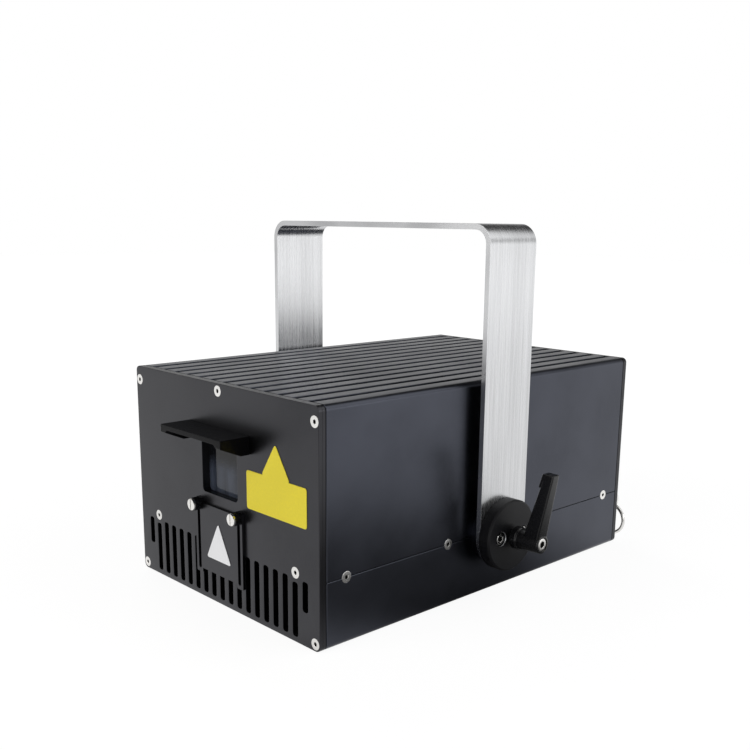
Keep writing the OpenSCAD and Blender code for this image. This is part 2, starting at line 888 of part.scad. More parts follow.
module shutter_badge() {
    color(steel) along_y(shutter_face_y - badge_t, badge_t)
        translate([0, badge_z]) round_triangle(badge_w, badge_h, badge_r);
}

module thumb_screw(x) {
    collar_y = shutter_face_y - shutter_gap - thumb_collar_len;
    translate([x, 0, thumb_z]) {
        color(black_deep) rod_y(collar_y, thumb_collar_len, thumb_collar_d);
        color(steel) difference() {
            rod_y(collar_y - thumb_face_len, thumb_face_len + merge, thumb_face_d);
            translate([-thumb_face_d, collar_y - thumb_face_len - over, -thumb_slot_w / 2])
                cube([2 * thumb_face_d, thumb_slot_depth + over, thumb_slot_w]);
        }
        color(steel) rod_y(collar_y + over, front_y + thumb_bite - collar_y - over, thumb_d);
    }
}

module thumb_screw_left() { thumb_screw(-guide_x); }
module thumb_screw_right() { thumb_screw(guide_x); }

module pivot_boss(s) {
    color(black_coat) on_side(s) difference() {
        rod_x(side_x, boss_t, boss_d);
        rod_x(side_x - over, boss_t + 2 * over, stud_d + 2 * stud_room);
    }
}

module pivot_boss_left() { pivot_boss(-1); }
module pivot_boss_right() { pivot_boss(1); }

module friction_washers() {
    for (s = [-1, 1]) color(black_deep) on_side(s) difference() {
        rod_x(side_x + boss_t, washer_t, boss_d);
        rod_x(side_x + boss_t - over, washer_t + 2 * over, stud_d + 2 * stud_room);
    }
}

// Front view of the yoke's top bar with its two bends
module arch_outline() {
    difference() {
        translate([0, yoke_z - yoke_w / 2]) round_rect(yoke_w, yoke_w, bend_r);
        translate([0, yoke_z - yoke_w / 2 - bar_t / 2])
            round_rect(yoke_w - 2 * bar_t, yoke_w - bar_t, bend_r - bar_t);
        translate([-yoke_w, arch_z - 2 * yoke_w]) square(2 * yoke_w);
    }
}

// Side view of a leg with its round end on the tilt axis
module leg_outline() {
    circle(d = bar_w);
    translate([-bar_w / 2, 0]) square([bar_w, arch_z - pivot_z + merge]);
}

module yoke() {
    color(steel) difference() {
        union() {
            translate([0, pivot_y, 0]) along_y(-bar_w / 2, bar_w) arch_outline();
            for (s = [-1, 1]) on_side(s) translate([yoke_in, 0, 0]) rotate([90, 0, 90])
                linear_extrude(bar_t) leg_outline();
        }
        for (s = [-1, 1]) on_side(s) {
            rod_x(yoke_in - over, bar_t + 2 * over, stud_d + 2 * stud_gap);
            for (d = [-1, 1]) translate([0, d * disc_screw_x, 0])
                rod_x(yoke_in - over, bar_t + 2 * over, disc_screw_d + 2 * fit_gap);
        }
        translate([0, pivot_y, yoke_z - bar_t - over]) {
            cylinder(h = bar_t + 2 * over, d = clamp_hole_d);
            for (x = [-fixing_hole_x, fixing_hole_x]) translate([x, 0, 0])
                cylinder(h = bar_t + 2 * over, d = fixing_hole_d);
        }
    }
}

module pivot_disc(s) {
    color(black_deep) on_side(s) difference() {
        union() {
            rod_x(yoke_x, disc_t - disc_bevel, disc_d);
            rod_x(disc_face - disc_bevel, disc_bevel, disc_d, disc_d - 2 * disc_bevel);
        }
        rod_x(yoke_x - over, disc_t + 2 * over, stud_d + 2 * stud_room);
        for (d = [-1, 1]) translate([0, d * disc_screw_x, 0]) {
            rod_x(yoke_x - over, disc_t, disc_screw_d + 2 * fit_gap);
            rod_x(disc_face - disc_head_h, disc_head_h + over, disc_head_d + 2 * disc_head_gap);
        }
    }
}

module pivot_disc_left() { pivot_disc(-1); }
module pivot_disc_right() { pivot_disc(1); }

module disc_screws() {
    for (s = [-1, 1], d = [-1, 1]) color(steel) on_side(s)
        translate([0, d * disc_screw_x, 0]) difference() {
            union() {
                rod_x(disc_face - disc_head_h, disc_head_h - head_sink, disc_head_d);
                rod_x(yoke_in, disc_face - disc_head_h - yoke_in + merge, disc_screw_d);
            }
            translate([disc_face - disc_socket_depth, 0, 0]) rotate([0, 90, 0])
                cylinder(h = disc_socket_depth + over, d = disc_socket_d, $fn = 6);
        }
}

// Threaded stud with its core, which carries the handle
module clamp_stud(s) {
    color(steel) on_side(s) difference() {
        union() {
            rod_x(side_x - wall - stud_bite, core_x - side_x + wall + stud_bite + merge, stud_d);
            rod_x(core_x, core_top - core_x, core_d);
            rod_x(core_top - merge, cap_x - core_top + 2 * merge, neck_d);
            rod_x(cap_x, cap_h - head_sink, cap_d);
        }
        translate([hub_top - disc_socket_depth, 0, 0]) rotate([0, 90, 0])
            cylinder(h = disc_socket_depth + over, d = disc_socket_d, $fn = 6);
    }
}

module clamp_stud_left() { clamp_stud(-1); }
module clamp_stud_right() { clamp_stud(1); }

module handle_arm() {
    tip_x = hub_top + handle_lean;
    hull() {
        translate([hub_top - arm_base_t - 1, -arm_base_w / 2, 0])
            cube([arm_base_t, arm_base_w, 4]);
        translate([tip_x - arm_tip_t, -arm_tip_w / 2, handle_reach - 1])
            cube([arm_tip_t, arm_tip_w, 1]);
    }
    hull() {
        lean = handle_lean * tip_lip_len / handle_reach;
        translate([tip_x - arm_tip_t - tip_lip_t, -arm_tip_w / 2, handle_reach - 1])
            cube([arm_tip_t, arm_tip_w, 1]);
        translate([tip_x - arm_tip_t - tip_lip_t - lean, -arm_tip_w / 2, handle_reach - tip_lip_len])
            cube([arm_tip_t, arm_tip_w, 1]);
    }
}

module clamp_handle(s) {
    color(black_deep) on_side(s) difference() {
        union() {
            rod_x(hub_x, hub_foot_h - 1, hub_foot_d);
            rod_x(hub_x + hub_foot_h - 1, 1, hub_foot_d, hub_waist_d);
            rod_x(hub_x + hub_foot_h, hub_len - hub_foot_h, hub_waist_d, hub_top_d);
            handle_arm();
        }
        rod_x(hub_x - over, core_len + over + seat_gap, core_d + 2 * fit_gap);
        rod_x(hub_x, hub_len + over, neck_d + 2 * fit_gap);
        rod_x(core_top + seat_gap + web_t, hub_len, cap_d + 2 * fit_gap);
    }
}

module clamp_handle_left() { clamp_handle(-1); }
module clamp_handle_right() { clamp_handle(1); }

// Ring of round wire about the Z axis
module wire_ring(r, wire) {
    rotate_extrude() translate([r, 0]) circle(d = wire);
}

module safety_eye() {
    color(steel) {
        translate([ring_x, ring_mid_y, eye_mid_z]) rotate([0, 90, 0]) wire_ring(eye_r, eye_wire);
        translate([ring_x, 0, eye_mid_z]) {
            rod_y(rear_y, eye_flange_t, eye_flange_d);
            rod_y(rear_y, ring_mid_y - eye_r - rear_y + 2 * merge, eye_wire + 1);
            rod_y(rear_in_y - eye_bite, rear_t + eye_bite + merge, eye_thread_d);
        }
    }
}

module safety_ring() {
    color(steel) translate([ring_x, ring_mid_y, ring_mid_z]) rotate([90, 0, 0])
        wire_ring(ring_r, ring_wire);
}

// Rear panel with its cut-outs
module rear_cut(x, z, d) {
    translate([x, 0, z]) rod_y(rear_in_y - over, rear_t + 2 * over, d);
}

module rear_panel() {
    vent_h = rear_vent_high_z - rear_vent_low_z;
    color(black_coat) difference() {
        panel_blank(rear_in_y + shadow_gap, rear_in_y, rear_t);
        at_rear_screws() screw_cut(end_screw_len);
        along_y(rear_in_y - over, rear_t + 2 * over) {
            for (i = [0 : rear_vent_count - 1])
                translate([rear_vent_x + i * vent_pitch, rear_vent_low_z + vent_h / 2])
                    round_rect(vent_w, vent_h, vent_r);
            translate([signal_x, display_row_z])
                square([signal_shell_w + 2, signal_shell_h + 2], center = true);
            translate([display_x, display_row_z])
                square([display_w - 4, display_h - 4], center = true);
        }
        for (x = concat(data_socket_xs, [network_x, interlock_x]))
            rear_cut(x, socket_row_z, barrel_d + 2 * seat_gap);
        rear_cut(first_socket_x, power_z, barrel_d + 2 * seat_gap);
        rear_cut(key_x, socket_row_z, key_switch_d - 3 + 2 * screw_gap);
        rear_cut(knob_x, display_row_z, shaft_d + 2 * fit_gap);
        rear_cut(ring_x, eye_mid_z, eye_thread_d + 2 * screw_gap);
    }
}

// Flange and round body of a panel socket
module socket_blank() {
    along_y(rear_y, flange_t) round_rect(flange_w, flange_h, 2);
    rod_y(rear_y - barrel_len, barrel_len + merge, barrel_d);
}

// The two holes in opposite corners of a socket's flange
module flange_holes() {
    for (s = [-1, 1])
        translate([s * (flange_w / 2 - flange_hole_in), 0, s * (flange_h / 2 - flange_hole_in)])
            rod_y(rear_y - over, flange_t + 2 * over, flange_hole_d);
}

// Round socket whose contact pins stand in its mouth
module pin_socket(x, z, pins, pin_r) {
    floor_y = rear_y + flange_t - mouth_depth;
    translate([x, 0, z]) {
        difference() {
            socket_blank();
            rod_y(floor_y, mouth_depth + over, mouth_d);
            flange_holes();
        }
        for (i = [0 : pins - 1]) {
            a = 360 * (i + 0.5) / pins;
            translate([pin_r * cos(a), 0, pin_r * sin(a)])
                rod_y(floor_y - merge, mouth_depth - pin_recess, pin_d);
        }
    }
}

module power_inlet() {
    color([0.12, 0.22, 0.50]) pin_socket(first_socket_x, power_z, 3, 5);
}

module data_sockets() {
    for (x = data_socket_xs) color(steel) pin_socket(x, socket_row_z, 5, 5.5);
}

module interlock_socket() {
    color(black_deep) pin_socket(interlock_x, socket_row_z, 3, 5.5);
}

module network_socket() {
    color(steel) translate([network_x, 0, socket_row_z]) difference() {
        socket_blank();
        along_y(rear_y + flange_t - network_mouth[2], network_mouth[2] + over)
            square([network_mouth[0], network_mouth[1]], center = true);
        flange_holes();
    }
}

module scan_signal_socket() {
    shell_r = 2;
    behind = rear_t + 5;
    recess = 1;
    color(steel) translate([signal_x, 0, display_row_z]) difference() {
        union() {
            along_y(rear_y, 1) round_rect(signal_w, signal_h, 1);
            along_y(rear_y, signal_shell_out)
                round_rect(signal_shell_w, signal_shell_h, shell_r);
            along_y(rear_y - behind, behind + merge)
                square([signal_shell_w, signal_shell_h], center = true);
        }
        along_y(rear_y + recess, signal_shell_out)
            round_rect(signal_shell_w - 2 * signal_shell_wall,
                signal_shell_h - 2 * signal_shell_wall, shell_r);
    }
}

module key_switch() {
    rim_t = 3;
    body_len = 16;
    color(steel) translate([key_x, 0, socket_row_z]) difference() {
        union() {
            rod_y(rear_y, rim_t, key_switch_d);
            rod_y(rear_y - body_len, body_len + merge, key_switch_d - 3);
        }
        rod_y(rear_y - key_bore_depth, key_bore_depth + rim_t + over, key_d + 2 * screw_gap);
    }
}

// Key: the turning barrel, the stem and the pierced round grip
module key() {
    barrel_out = 4;
    grip_y = rear_y + 20;
    hole_y = grip_y + key_w / 4;
    color(steel) translate([key_x, 0, socket_row_z]) {
        rod_y(rear_y - key_bore_depth + seat_gap, key_bore_depth - seat_gap + barrel_out, key_d);
        translate([-key_t / 2, rear_y + barrel_out - merge, -key_stem_w / 2])
            cube([key_t, grip_y - rear_y - barrel_out, key_stem_w]);
        difference() {
            translate([-key_t / 2, grip_y, 0]) rotate([0, 90, 0]) cylinder(h = key_t, d = key_w);
            translate([-key_t, hole_y, 0]) rotate([0, 90, 0]) cylinder(h = 2 * key_t, d = key_w / 4);
        }
    }
}

module display_window() {
    rim_t = 0.8;
    color(black_deep) translate([display_x, 0, display_row_z]) {
        along_y(rear_y, rim_t) round_rect(display_w, display_h, 1.5);
        along_y(rear_in_y, rear_t + merge)
            square([display_w - 4 - 2 * seat_gap, display_h - 4 - 2 * seat_gap], center = true);
    }
}

// The shaft slides in when the knob is pressed
module encoder_shaft() {
    color(steel) translate([knob_x, 0, display_row_z])
        rod_y(rear_in_y - shaft_in, rear_t + shaft_in + knob_travel + shaft_out, shaft_d);
}

module menu_knob() {
    color(black_deep) translate([knob_x, 0, display_row_z]) difference() {
        rod_y(rear_y + knob_travel + 0.5, knob_len, knob_d);
        rod_y(rear_y + knob_travel, shaft_out + merge, shaft_d + 2 * fit_gap);
    }
}

// Radial blower that lies on the tray floor and blows out of the front slots
module blower(x) {
    inner_h = blower_h - 2 * blower_wall;
    cavity_d = blower_w - 10;
    throat = blower_w - 30;
    color(black_deep) translate([x, blower_y, floor_t]) {
        difference() {
            translate([-blower_w / 2, -blower_w / 2, 0]) cube([blower_w, blower_w, blower_h]);
            translate([0, 0, blower_wall]) {
                cylinder(h = inner_h, d = cavity_d);
                cylinder(h = blower_h, d = rotor_d - 6);
                translate([-throat / 2, -blower_w / 2 - over, 0])
                    cube([throat, blower_w / 2 + over, inner_h]);
            }
        }
        translate([0, 0, blower_wall - merge]) cylinder(h = spindle_d + merge, d = spindle_d);
    }
}

module rotor(x) {
    hub_d = 24;
    lift = 2;
    plate_t = 1.5;
    blade_t = 1;
    blade_len = 7.5;
    blade_rim = 0.5;
    color([0.2, 0.2, 0.22]) translate([x, blower_y, floor_t + blower_wall + lift]) difference() {
        union() {
            cylinder(h = rotor_h, d = hub_d);
            cylinder(h = plate_t, d = rotor_d);
            for (i = [0 : blade_count - 1]) rotate([0, 0, i * 360 / blade_count])
                translate([rotor_d / 2 - blade_rim - blade_len, -blade_t / 2, 0])
                    cube([blade_len, blade_t, rotor_h]);
        }
        translate([0, 0, -over]) cylinder(h = spindle_d, d = spindle_d + 2 * fit_gap);
    }
}

module blower_left() { blower(-blower_x); }
module blower_right() { blower(blower_x); }
module rotor_left() { rotor(-blower_x); }
module rotor_right() { rotor(blower_x); }

// Finned plate that hangs under the bench
module heat_sink() {
    color(bare_alu) {
        translate([-sink_w / 2, sink_y, bench_z - sink_base_t])
            cube([sink_w, sink_len, sink_base_t]);
        for (i = [0 : fin_count - 1])
            translate([-sink_w / 2 + i * (sink_w - fin_t) / (fin_count - 1), sink_y, bench_z - sink_h])
                cube([fin_t, sink_len, sink_h - sink_base_t + merge]);
    }
}

module power_supply() {
    slot_pitch = 10;
    slot_w = 4;
    slot_in = 7;
    color([0.72, 0.73, 0.74]) translate([supply_x - supply_w / 2, supply_y, floor_t]) difference() {
        cube([supply_w, supply_len, supply_h]);
        for (x = [slot_pitch : slot_pitch : supply_w - slot_pitch])
            translate([x, slot_in, supply_h - 1])
                cube([slot_w, supply_len - 2 * slot_in, 1 + over]);
    }
}

// Laser module: a cooled block whose beam leaves the snout towards -X
module laser_module(y, tint) {
    fin_gap = 3;
    fin_depth = 10;
    fin_pitch = 10;
    color(tint) translate([laser_x, y, 0]) {
        translate([0, -laser_w / 2, bench_top]) difference() {
            cube([laser_len, laser_w, laser_h]);
            for (x = [fin_pitch : fin_pitch : laser_len - fin_pitch])
                translate([x, -over, laser_h - fin_depth])
                    cube([fin_gap, laser_w + 2 * over, fin_depth + over]);
        }
        translate([0, 0, beam_z]) rod_x(-snout_len, snout_len + merge, snout_d);
    }
}

module laser_red() { laser_module(laser_ys[2], [0.45, 0.20, 0.20]); }
module laser_green() { laser_module(laser_ys[1], [0.20, 0.40, 0.24]); }
module laser_blue() { laser_module(laser_ys[0], [0.20, 0.26, 0.48]); }

// Three combining mirrors and the one that turns the beam to the scanners
module at_mirrors(z) {
    for (p = mirror_places) translate([beam_x, p[0], z]) rotate([0, 0, p[1]]) children();
}

module mirror_mounts() {
    post_w = 14;
    lip = 2;
    color(bare_alu) {
        at_mirrors(beam_z) difference() {
            translate([-holder_w / 2, 0, -holder_w / 2]) cube([holder_w, holder_t, holder_w]);
            rod_y(-over, mirror_t + over + merge, mirror_d + 2 * fit_gap);
            rod_y(-over, holder_t + 2 * over, mirror_d - 2 * lip);
        }
        at_mirrors(bench_top) translate([-post_w / 2, 0.5, 0])
            cube([post_w, holder_t - 1, beam_z - holder_w / 2 - bench_top + merge]);
    }
}

module combiner_mirrors() {
    color([0.7, 0.75, 0.85]) at_mirrors(beam_z) rod_y(merge, mirror_t, mirror_d);
}

// Block that carries both scanning motors
module galvo_block() {
    foot_t = 8;
    motor_x_y = scan_y + block_in;
    color(bare_alu) difference() {
        translate([0, 0, bench_top]) {
            translate([-block_w / 2, motor_x_y, 0])
                cube([block_w, block_len, beam_z + block_w / 2 - bench_top]);
            translate([block_side_in, scan_y - block_w / 2, 0])
                cube([block_len, block_w, scan_z + block_w / 2 - bench_top]);
            translate([-block_w / 2, scan_y - block_w / 2, 0])
                cube([block_w / 2 + block_side_in + block_len,
                    block_w / 2 + block_in + block_len, foot_t]);
        }
        translate([0, 0, beam_z]) rod_y(motor_x_y - over, block_len + 2 * over, motor_d + 2 * fit_gap);
        translate([0, scan_y, scan_z])
            rod_x(block_side_in - over, block_len + 2 * over, motor_d + 2 * fit_gap);
    }
}

// Scanning motors, each with the bore that its mirror's shaft turns in
module galvo_motor_x() {
    front = scan_y + motor_x_in;
    color(black_deep) translate([0, 0, beam_z]) difference() {
        rod_y(front, motor_len, motor_d);
        rod_y(front - over, shaft_bore + over, galvo_shaft_d + 2 * fit_gap);
    }
}

module galvo_motor_y() {
    color(black_deep) translate([0, scan_y, scan_z]) difference() {
        rod_x(motor_y_in, motor_len, motor_d);
        rod_x(motor_y_in - over, shaft_bore + over, galvo_shaft_d + 2 * fit_gap);
    }
}

module galvo_mirror_x() {
    size = [14, 12, galvo_mirror_t];
    color(steel) translate([0, scan_y, beam_z]) {
        rod_y(size[1] / 2 - over, motor_x_in + shaft_bore - size[1] / 2, galvo_shaft_d);
        rotate([0, -45, 0]) cube(size, center = true);
    }
}

module galvo_mirror_y() {
    size = [20, 12, galvo_mirror_t];
    color(steel) translate([0, scan_y, scan_z]) {
        rod_x(size[0] / 2 - over, motor_y_in + shaft_bore - size[0] / 2, galvo_shaft_d);
        rotate([-45, 0, 0]) cube(size, center = true);
    }
}

// Rotary magnet of the safety beam stop
module beam_stop_motor() {
    color(black_deep) difference() {
        translate([stop_x - stop_motor_w / 2, stop_y, bench_top])
            cube([stop_motor_w, stop_motor_len, stop_z + stop_motor_over - bench_top]);
        translate([stop_x, 0, stop_z])
            rod_y(stop_y - over, stop_shaft_len - vane_off, stop_shaft_d + 2 * fit_gap);
    }
}

// Vane that a spring turns up into the beam when the power fails
module beam_stop() {
    hub_d = 10;
    vane_w = 8;
    color(steel) translate([stop_x, stop_y - vane_off, stop_z]) {
        rod_y(-over, stop_shaft_len, stop_shaft_d);
        rotate([0, -stop_lean, 0]) {
            translate([0, 0, -vane_w / 2]) cube([stop_arm, vane_t, vane_w]);
            translate([stop_arm, 0, 0]) rod_y(0, vane_t, vane_d);
            rod_y(0, vane_t, hub_d);
        }
    }
}

// Scanner amplifier: a board on its cooling angle, with the power transistors
module scanner_driver() {
    chip = [5, 12, 16];
    chip_pitch = 22;
    chip_in = 8;
    chip_rise = 6;
    board_x = -inner_w / 2 + driver_side_in;
    color(board_green) translate([board_x, driver_y, bench_top])
        cube([board_t, driver_len, driver_h]);
    translate([board_x + board_t, driver_y + angle_in, bench_top]) {
        color(bare_alu) cube([angle_w, angle_len, angle_h]);
        color(black_deep) for (i = [0 : 3])
            translate([-merge, chip_in + i * chip_pitch, angle_h + chip_rise]) cube(chip);
    }
}

// Control board that stands across the casing in front of the sockets
module control_board() {
    chip = [22, 4, 22];
    chip_pitch = 38;
    chip_rise = 30;
    plug = [16, 10, 12];
    plug_in = 18;
    board_y = rear_in_y - board_rear_in;
    color(board_green) translate([-board_w / 2, board_y, bench_top])
        cube([board_w, board_t, board_h]);
    translate([0, board_y + merge, bench_top]) {
        color(black_deep) for (i = [-1.5 : 1 : 1.5])
            translate([i * chip_pitch - chip[0] / 2, -chip[1], chip_rise]) cube(chip);
        color(steel) for (i = [-1, 1])
            translate([i * (board_w / 2 - plug_in) - plug[0] / 2, -plug[1], 0]) cube(plug);
    }
}

front_panel();
rear_panel();
top_cover();
base_tray();
optical_bench();
front_screws();
rear_screws();
side_screws();
visor();
window_glass();
window_frame();
front_label();
shutter_plate();
shutter_badge();
thumb_screw_left();
thumb_screw_right();
pivot_boss_left();
pivot_boss_right();
friction_washers();
yoke();
pivot_disc_left();
pivot_disc_right();
disc_screws();
clamp_stud_left();
clamp_stud_right();
clamp_handle_left();
clamp_handle_right();
safety_eye();
safety_ring();
power_inlet();
data_sockets();
network_socket();
interlock_socket();
scan_signal_socket();
key_switch();
key();
display_window();
encoder_shaft();
menu_knob();
blower_left();
blower_right();
rotor_left();
rotor_right();
heat_sink();
power_supply();
laser_red();
laser_green();
laser_blue();
mirror_mounts();
combiner_mirrors();
galvo_block();
galvo_motor_x();
galvo_motor_y();
galvo_mirror_x();
galvo_mirror_y();
beam_stop_motor();
beam_stop();
scanner_driver();
control_board();
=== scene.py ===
"""Looks of a laser show projector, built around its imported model.

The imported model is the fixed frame, so every piece takes its place from a node's box.
Meshes are drawn in millimetres, facing +Z, then turned and scaled into that frame.
"""

from __future__ import annotations

import json
import logging
import math
from dataclasses import dataclass, replace
from enum import Enum
from typing import Callable, Iterable, Sequence

import bmesh
import bpy
from bmesh.types import BMEdge, BMFace, BMVert
from mathutils import Matrix, Vector

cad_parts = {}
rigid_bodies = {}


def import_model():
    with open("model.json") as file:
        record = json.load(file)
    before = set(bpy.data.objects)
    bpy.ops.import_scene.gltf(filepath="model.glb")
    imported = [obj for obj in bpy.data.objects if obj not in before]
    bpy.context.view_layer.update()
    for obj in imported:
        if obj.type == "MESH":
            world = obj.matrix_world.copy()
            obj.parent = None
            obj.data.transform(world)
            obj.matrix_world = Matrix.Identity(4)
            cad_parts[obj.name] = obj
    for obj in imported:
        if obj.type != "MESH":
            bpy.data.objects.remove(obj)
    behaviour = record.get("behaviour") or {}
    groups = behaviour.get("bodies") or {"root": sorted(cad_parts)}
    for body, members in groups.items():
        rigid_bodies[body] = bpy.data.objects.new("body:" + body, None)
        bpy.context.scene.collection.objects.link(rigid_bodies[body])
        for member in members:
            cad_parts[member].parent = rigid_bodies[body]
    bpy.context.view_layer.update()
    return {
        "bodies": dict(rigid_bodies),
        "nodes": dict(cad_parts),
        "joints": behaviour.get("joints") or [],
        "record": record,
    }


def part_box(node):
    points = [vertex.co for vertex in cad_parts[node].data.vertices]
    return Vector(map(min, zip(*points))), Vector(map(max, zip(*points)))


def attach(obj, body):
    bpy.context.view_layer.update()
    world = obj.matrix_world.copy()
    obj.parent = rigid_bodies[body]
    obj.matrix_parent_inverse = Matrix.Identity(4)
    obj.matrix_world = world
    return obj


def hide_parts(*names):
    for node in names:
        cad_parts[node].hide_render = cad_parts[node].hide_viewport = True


LOG = logging.getLogger("projector")
MM = 0.001
NEAR = 1e-4
WHITE = (1, 1, 1, 1)

Profile = Sequence[tuple[float, float]]
Colour = tuple[float, float, float]


class Facing(Enum):
    """The side of the casing that a piece's outer face looks to."""

    FRONT = ((1, 0, 0), (0, 0, 1), (0, -1, 0))
    REAR = ((-1, 0, 0), (0, 0, 1), (0, 1, 0))
    RIGHT = ((0, 1, 0), (0, 0, 1), (1, 0, 0))
    LEFT = ((0, -1, 0), (0, 0, 1), (-1, 0, 0))

    def turn(self, at: Sequence[float] = (0, 0, 0)) -> Matrix:
        """Matrix from a drawing that faces +Z to this side.

        Args:
            at: Where the drawing's origin goes, in millimetres.

        Returns:
            The placing matrix.
        """
        turn = Matrix(self.value).transposed().to_4x4()
        return Matrix.Translation(Vector(at)) @ turn


def show(name: str, data: bpy.types.ID) -> bpy.types.Object:
    """Puts an object into the scene.

    Args:
        name: Its name.
        data: Its mesh, lamp or camera.

    Returns:
        The object.
    """
    thing = bpy.data.objects.new(name, data)
    bpy.context.scene.collection.objects.link(thing)
    return thing


@dataclass(frozen=True)
class Rim:
    """Rounded outline of a plate or of a hole in it, in millimetres."""

    x: float
    y: float
    w: float
    h: float
    r: float
    sides: int = 0

    @classmethod
    def ring(cls, x: float, y: float, d: float, sides: int = 48) -> "Rim":
        """A circle, or a regular polygon with few sides.

        Args:
            x: Place of its middle to the right.
            y: Place of its middle upwards.
            d: Diameter over the corners.
            sides: Number of straight pieces.

        Returns:
            The outline.
        """
        return cls(x, y, d, d, d / 2, sides)


class Solid:
    """A closed mesh under construction, in millimetres."""

    def __init__(self) -> None:
        """Starts empty."""
        self.bm = bmesh.new()

    def loop(self, rim: Rim, grow: float, z: float) -> list[BMEdge]:
        """Draws one outline as a ring of loose edges.

        Args:
            rim: The outline.
            grow: How much is added to it on every side.
            z: Height that it lies at.

        Returns:
            Its edges.
        """
        place = Matrix.Translation((rim.x, rim.y, z))
        if rim.sides:
            made = bmesh.ops.create_circle(
                self.bm, segments=rim.sides, radius=rim.r + grow, cap_ends=False, matrix=place
            )["verts"]
            return list({e for v in made for e in v.link_edges})
        scale = Matrix.Diagonal((rim.w / 2 + grow, rim.h / 2 + grow, 1, 1))
        known = set(self.bm.faces)
        made = bmesh.ops.create_grid(
            self.bm, x_segments=1, y_segments=1, size=1, matrix=place @ scale
        )["verts"]
        radius = rim.r + grow
        if radius > 0:
            bmesh.ops.bevel(
                self.bm, geom=made, offset=radius, offset_type="OFFSET", segments=6,
                profile=0.5, affect="VERTICES", material=-1, clamp_overlap=False,
            )
        face = next(f for f in self.bm.faces if f not in known)
        edges = list(face.edges)
        bmesh.ops.delete(self.bm, geom=[face], context="FACES_ONLY")
        return edges

    def plate(
        self, rims: Sequence[Rim], steps: Profile, hole_steps: Profile | None = None,
        special: dict[int, Profile] | None = None, blind: Sequence[int] = (),
    ) -> "Solid":
        """A plate whose edges and holes are stepped or chamfered.

        Args:
            rims: The plate's outline, then the outlines of its holes.
            steps: Growth and height of each ring down the plate's edge.
            hole_steps: The same for the holes, or None to repeat the heights alone.
            special: Steps of single holes, by their place in rims.
            blind: Places in rims of the holes that end in a floor.

        Returns:
            This solid.
        """
        flat = hole_steps or [(0, z) for _, z in (steps[0], steps[-1])]
        first: list[BMEdge] = []
        last: list[BMEdge] = []
        for i, rim in enumerate(rims):
            mine = steps if i == 0 else (special or {}).get(i, flat)
            rings = [self.loop(rim, grow, -n) for n, (grow, _) in enumerate(mine)]
            for a, b in zip(rings, rings[1:]):
                bmesh.ops.bridge_loops(self.bm, edges=a + b)
            for ring, (_, z) in zip(rings, mine):
                for vert in {v for e in ring for v in e.verts}:
                    vert.co.z = z
            first += rings[0]
            if i in blind:
                bmesh.ops.edgeloop_fill(self.bm, edges=rings[-1])
            else:
                last += rings[-1]
        for edges in (first, last):
            bmesh.ops.triangle_fill(self.bm, use_beauty=True, edges=edges)
        return self.tidy()

    def outline(
        self, points: Profile, radii: Sequence[float], z: float, segments: int
    ) -> BMFace:
        """One flat face with rounded corners.

        Args:
            points: Corners in order.
            radii: Radius of each corner, or 0 for a sharp one.
            z: Height that it lies at.
            segments: Straight pieces in each round.

        Returns:
            The face.
        """
        verts = [self.bm.verts.new((x, y, z)) for x, y in points]
        self.bm.faces.new(verts)
        groups: dict[float, list[BMVert]] = {}
        for i, (vert, radius) in enumerate(zip(verts, radii)):
            if radius <= 0:
                continue
            to_last = (verts[i - 1].co - vert.co).normalized()
            to_next = (verts[(i + 1) % len(verts)].co - vert.co).normalized()
            reach = radius / math.tan(to_last.angle(to_next) / 2)
            groups.setdefault(round(reach, 4), []).append(vert)
        for reach, corners in groups.items():
            bmesh.ops.bevel(
                self.bm, geom=corners, offset=reach, offset_type="OFFSET", segments=segments,
                profile=0.5, affect="VERTICES", material=-1, clamp_overlap=False,
            )
        return max(self.bm.faces, key=BMFace.calc_area)

    def flatten(self, geom: Sequence) -> None:
        """Joins the triangles of a flat fill into few large faces.

        Args:
            geom: What the fill has made.
        """
        inner = [g for g in geom if isinstance(g, BMEdge) and len(g.link_faces) == 2]
        corners = list({v for g in geom if isinstance(g, BMFace) for v in g.verts})
        bmesh.ops.dissolve_limit(
            self.bm, angle_limit=0.01, use_dissolve_boundaries=False,
            verts=corners, edges=inner, delimit=set(),
        )

    def slab(
        self, points: Profile, radii: Sequence[float], top: float, bottom: float,
        holes: Sequence[Rim] = (), segments: int = 5,
    ) -> "Solid":
        """A straight-sided slab of any outline.

        Args:
            points: Corners of the outline in order.
            radii: Radius of each corner.
            top: Height of its upper face.
            bottom: Height of its lower face.
            holes: Outlines of the holes through it.
            segments: Straight pieces in each round.

        Returns:
            This solid.
        """
        face = self.outline(points, radii, top, segments)
        edges = list(face.edges)
        if holes:
            bmesh.ops.delete(self.bm, geom=[face], context="FACES_ONLY")
            for rim in holes:
                edges += self.loop(rim, 0, top)
            made = bmesh.ops.triangle_fill(self.bm, use_beauty=True, edges=edges)["geom"]
            self.flatten(made)
        faces = self.bm.faces[:]
        made = bmesh.ops.extrude_face_region(self.bm, geom=faces, use_keep_orig=True)["geom"]
        moved = [g for g in made if isinstance(g, BMVert)]
        bmesh.ops.translate(self.bm, verts=moved, vec=(0, 0, bottom - top))
        return self.tidy()

    def spin(self, geom: Sequence, steps: int) -> "Solid":
        """Turns loose points and edges once about the Z axis.

        Args:
            geom: The points and edges.
            steps: Number of straight pieces round it.

        Returns:
            This solid.
        """
        bmesh.ops.spin(
            self.bm, geom=geom, cent=(0, 0, 0), axis=(0, 0, 1), angle=math.tau,
            steps=steps, use_merge=True, use_duplicate=False,
        )
        return self.tidy()

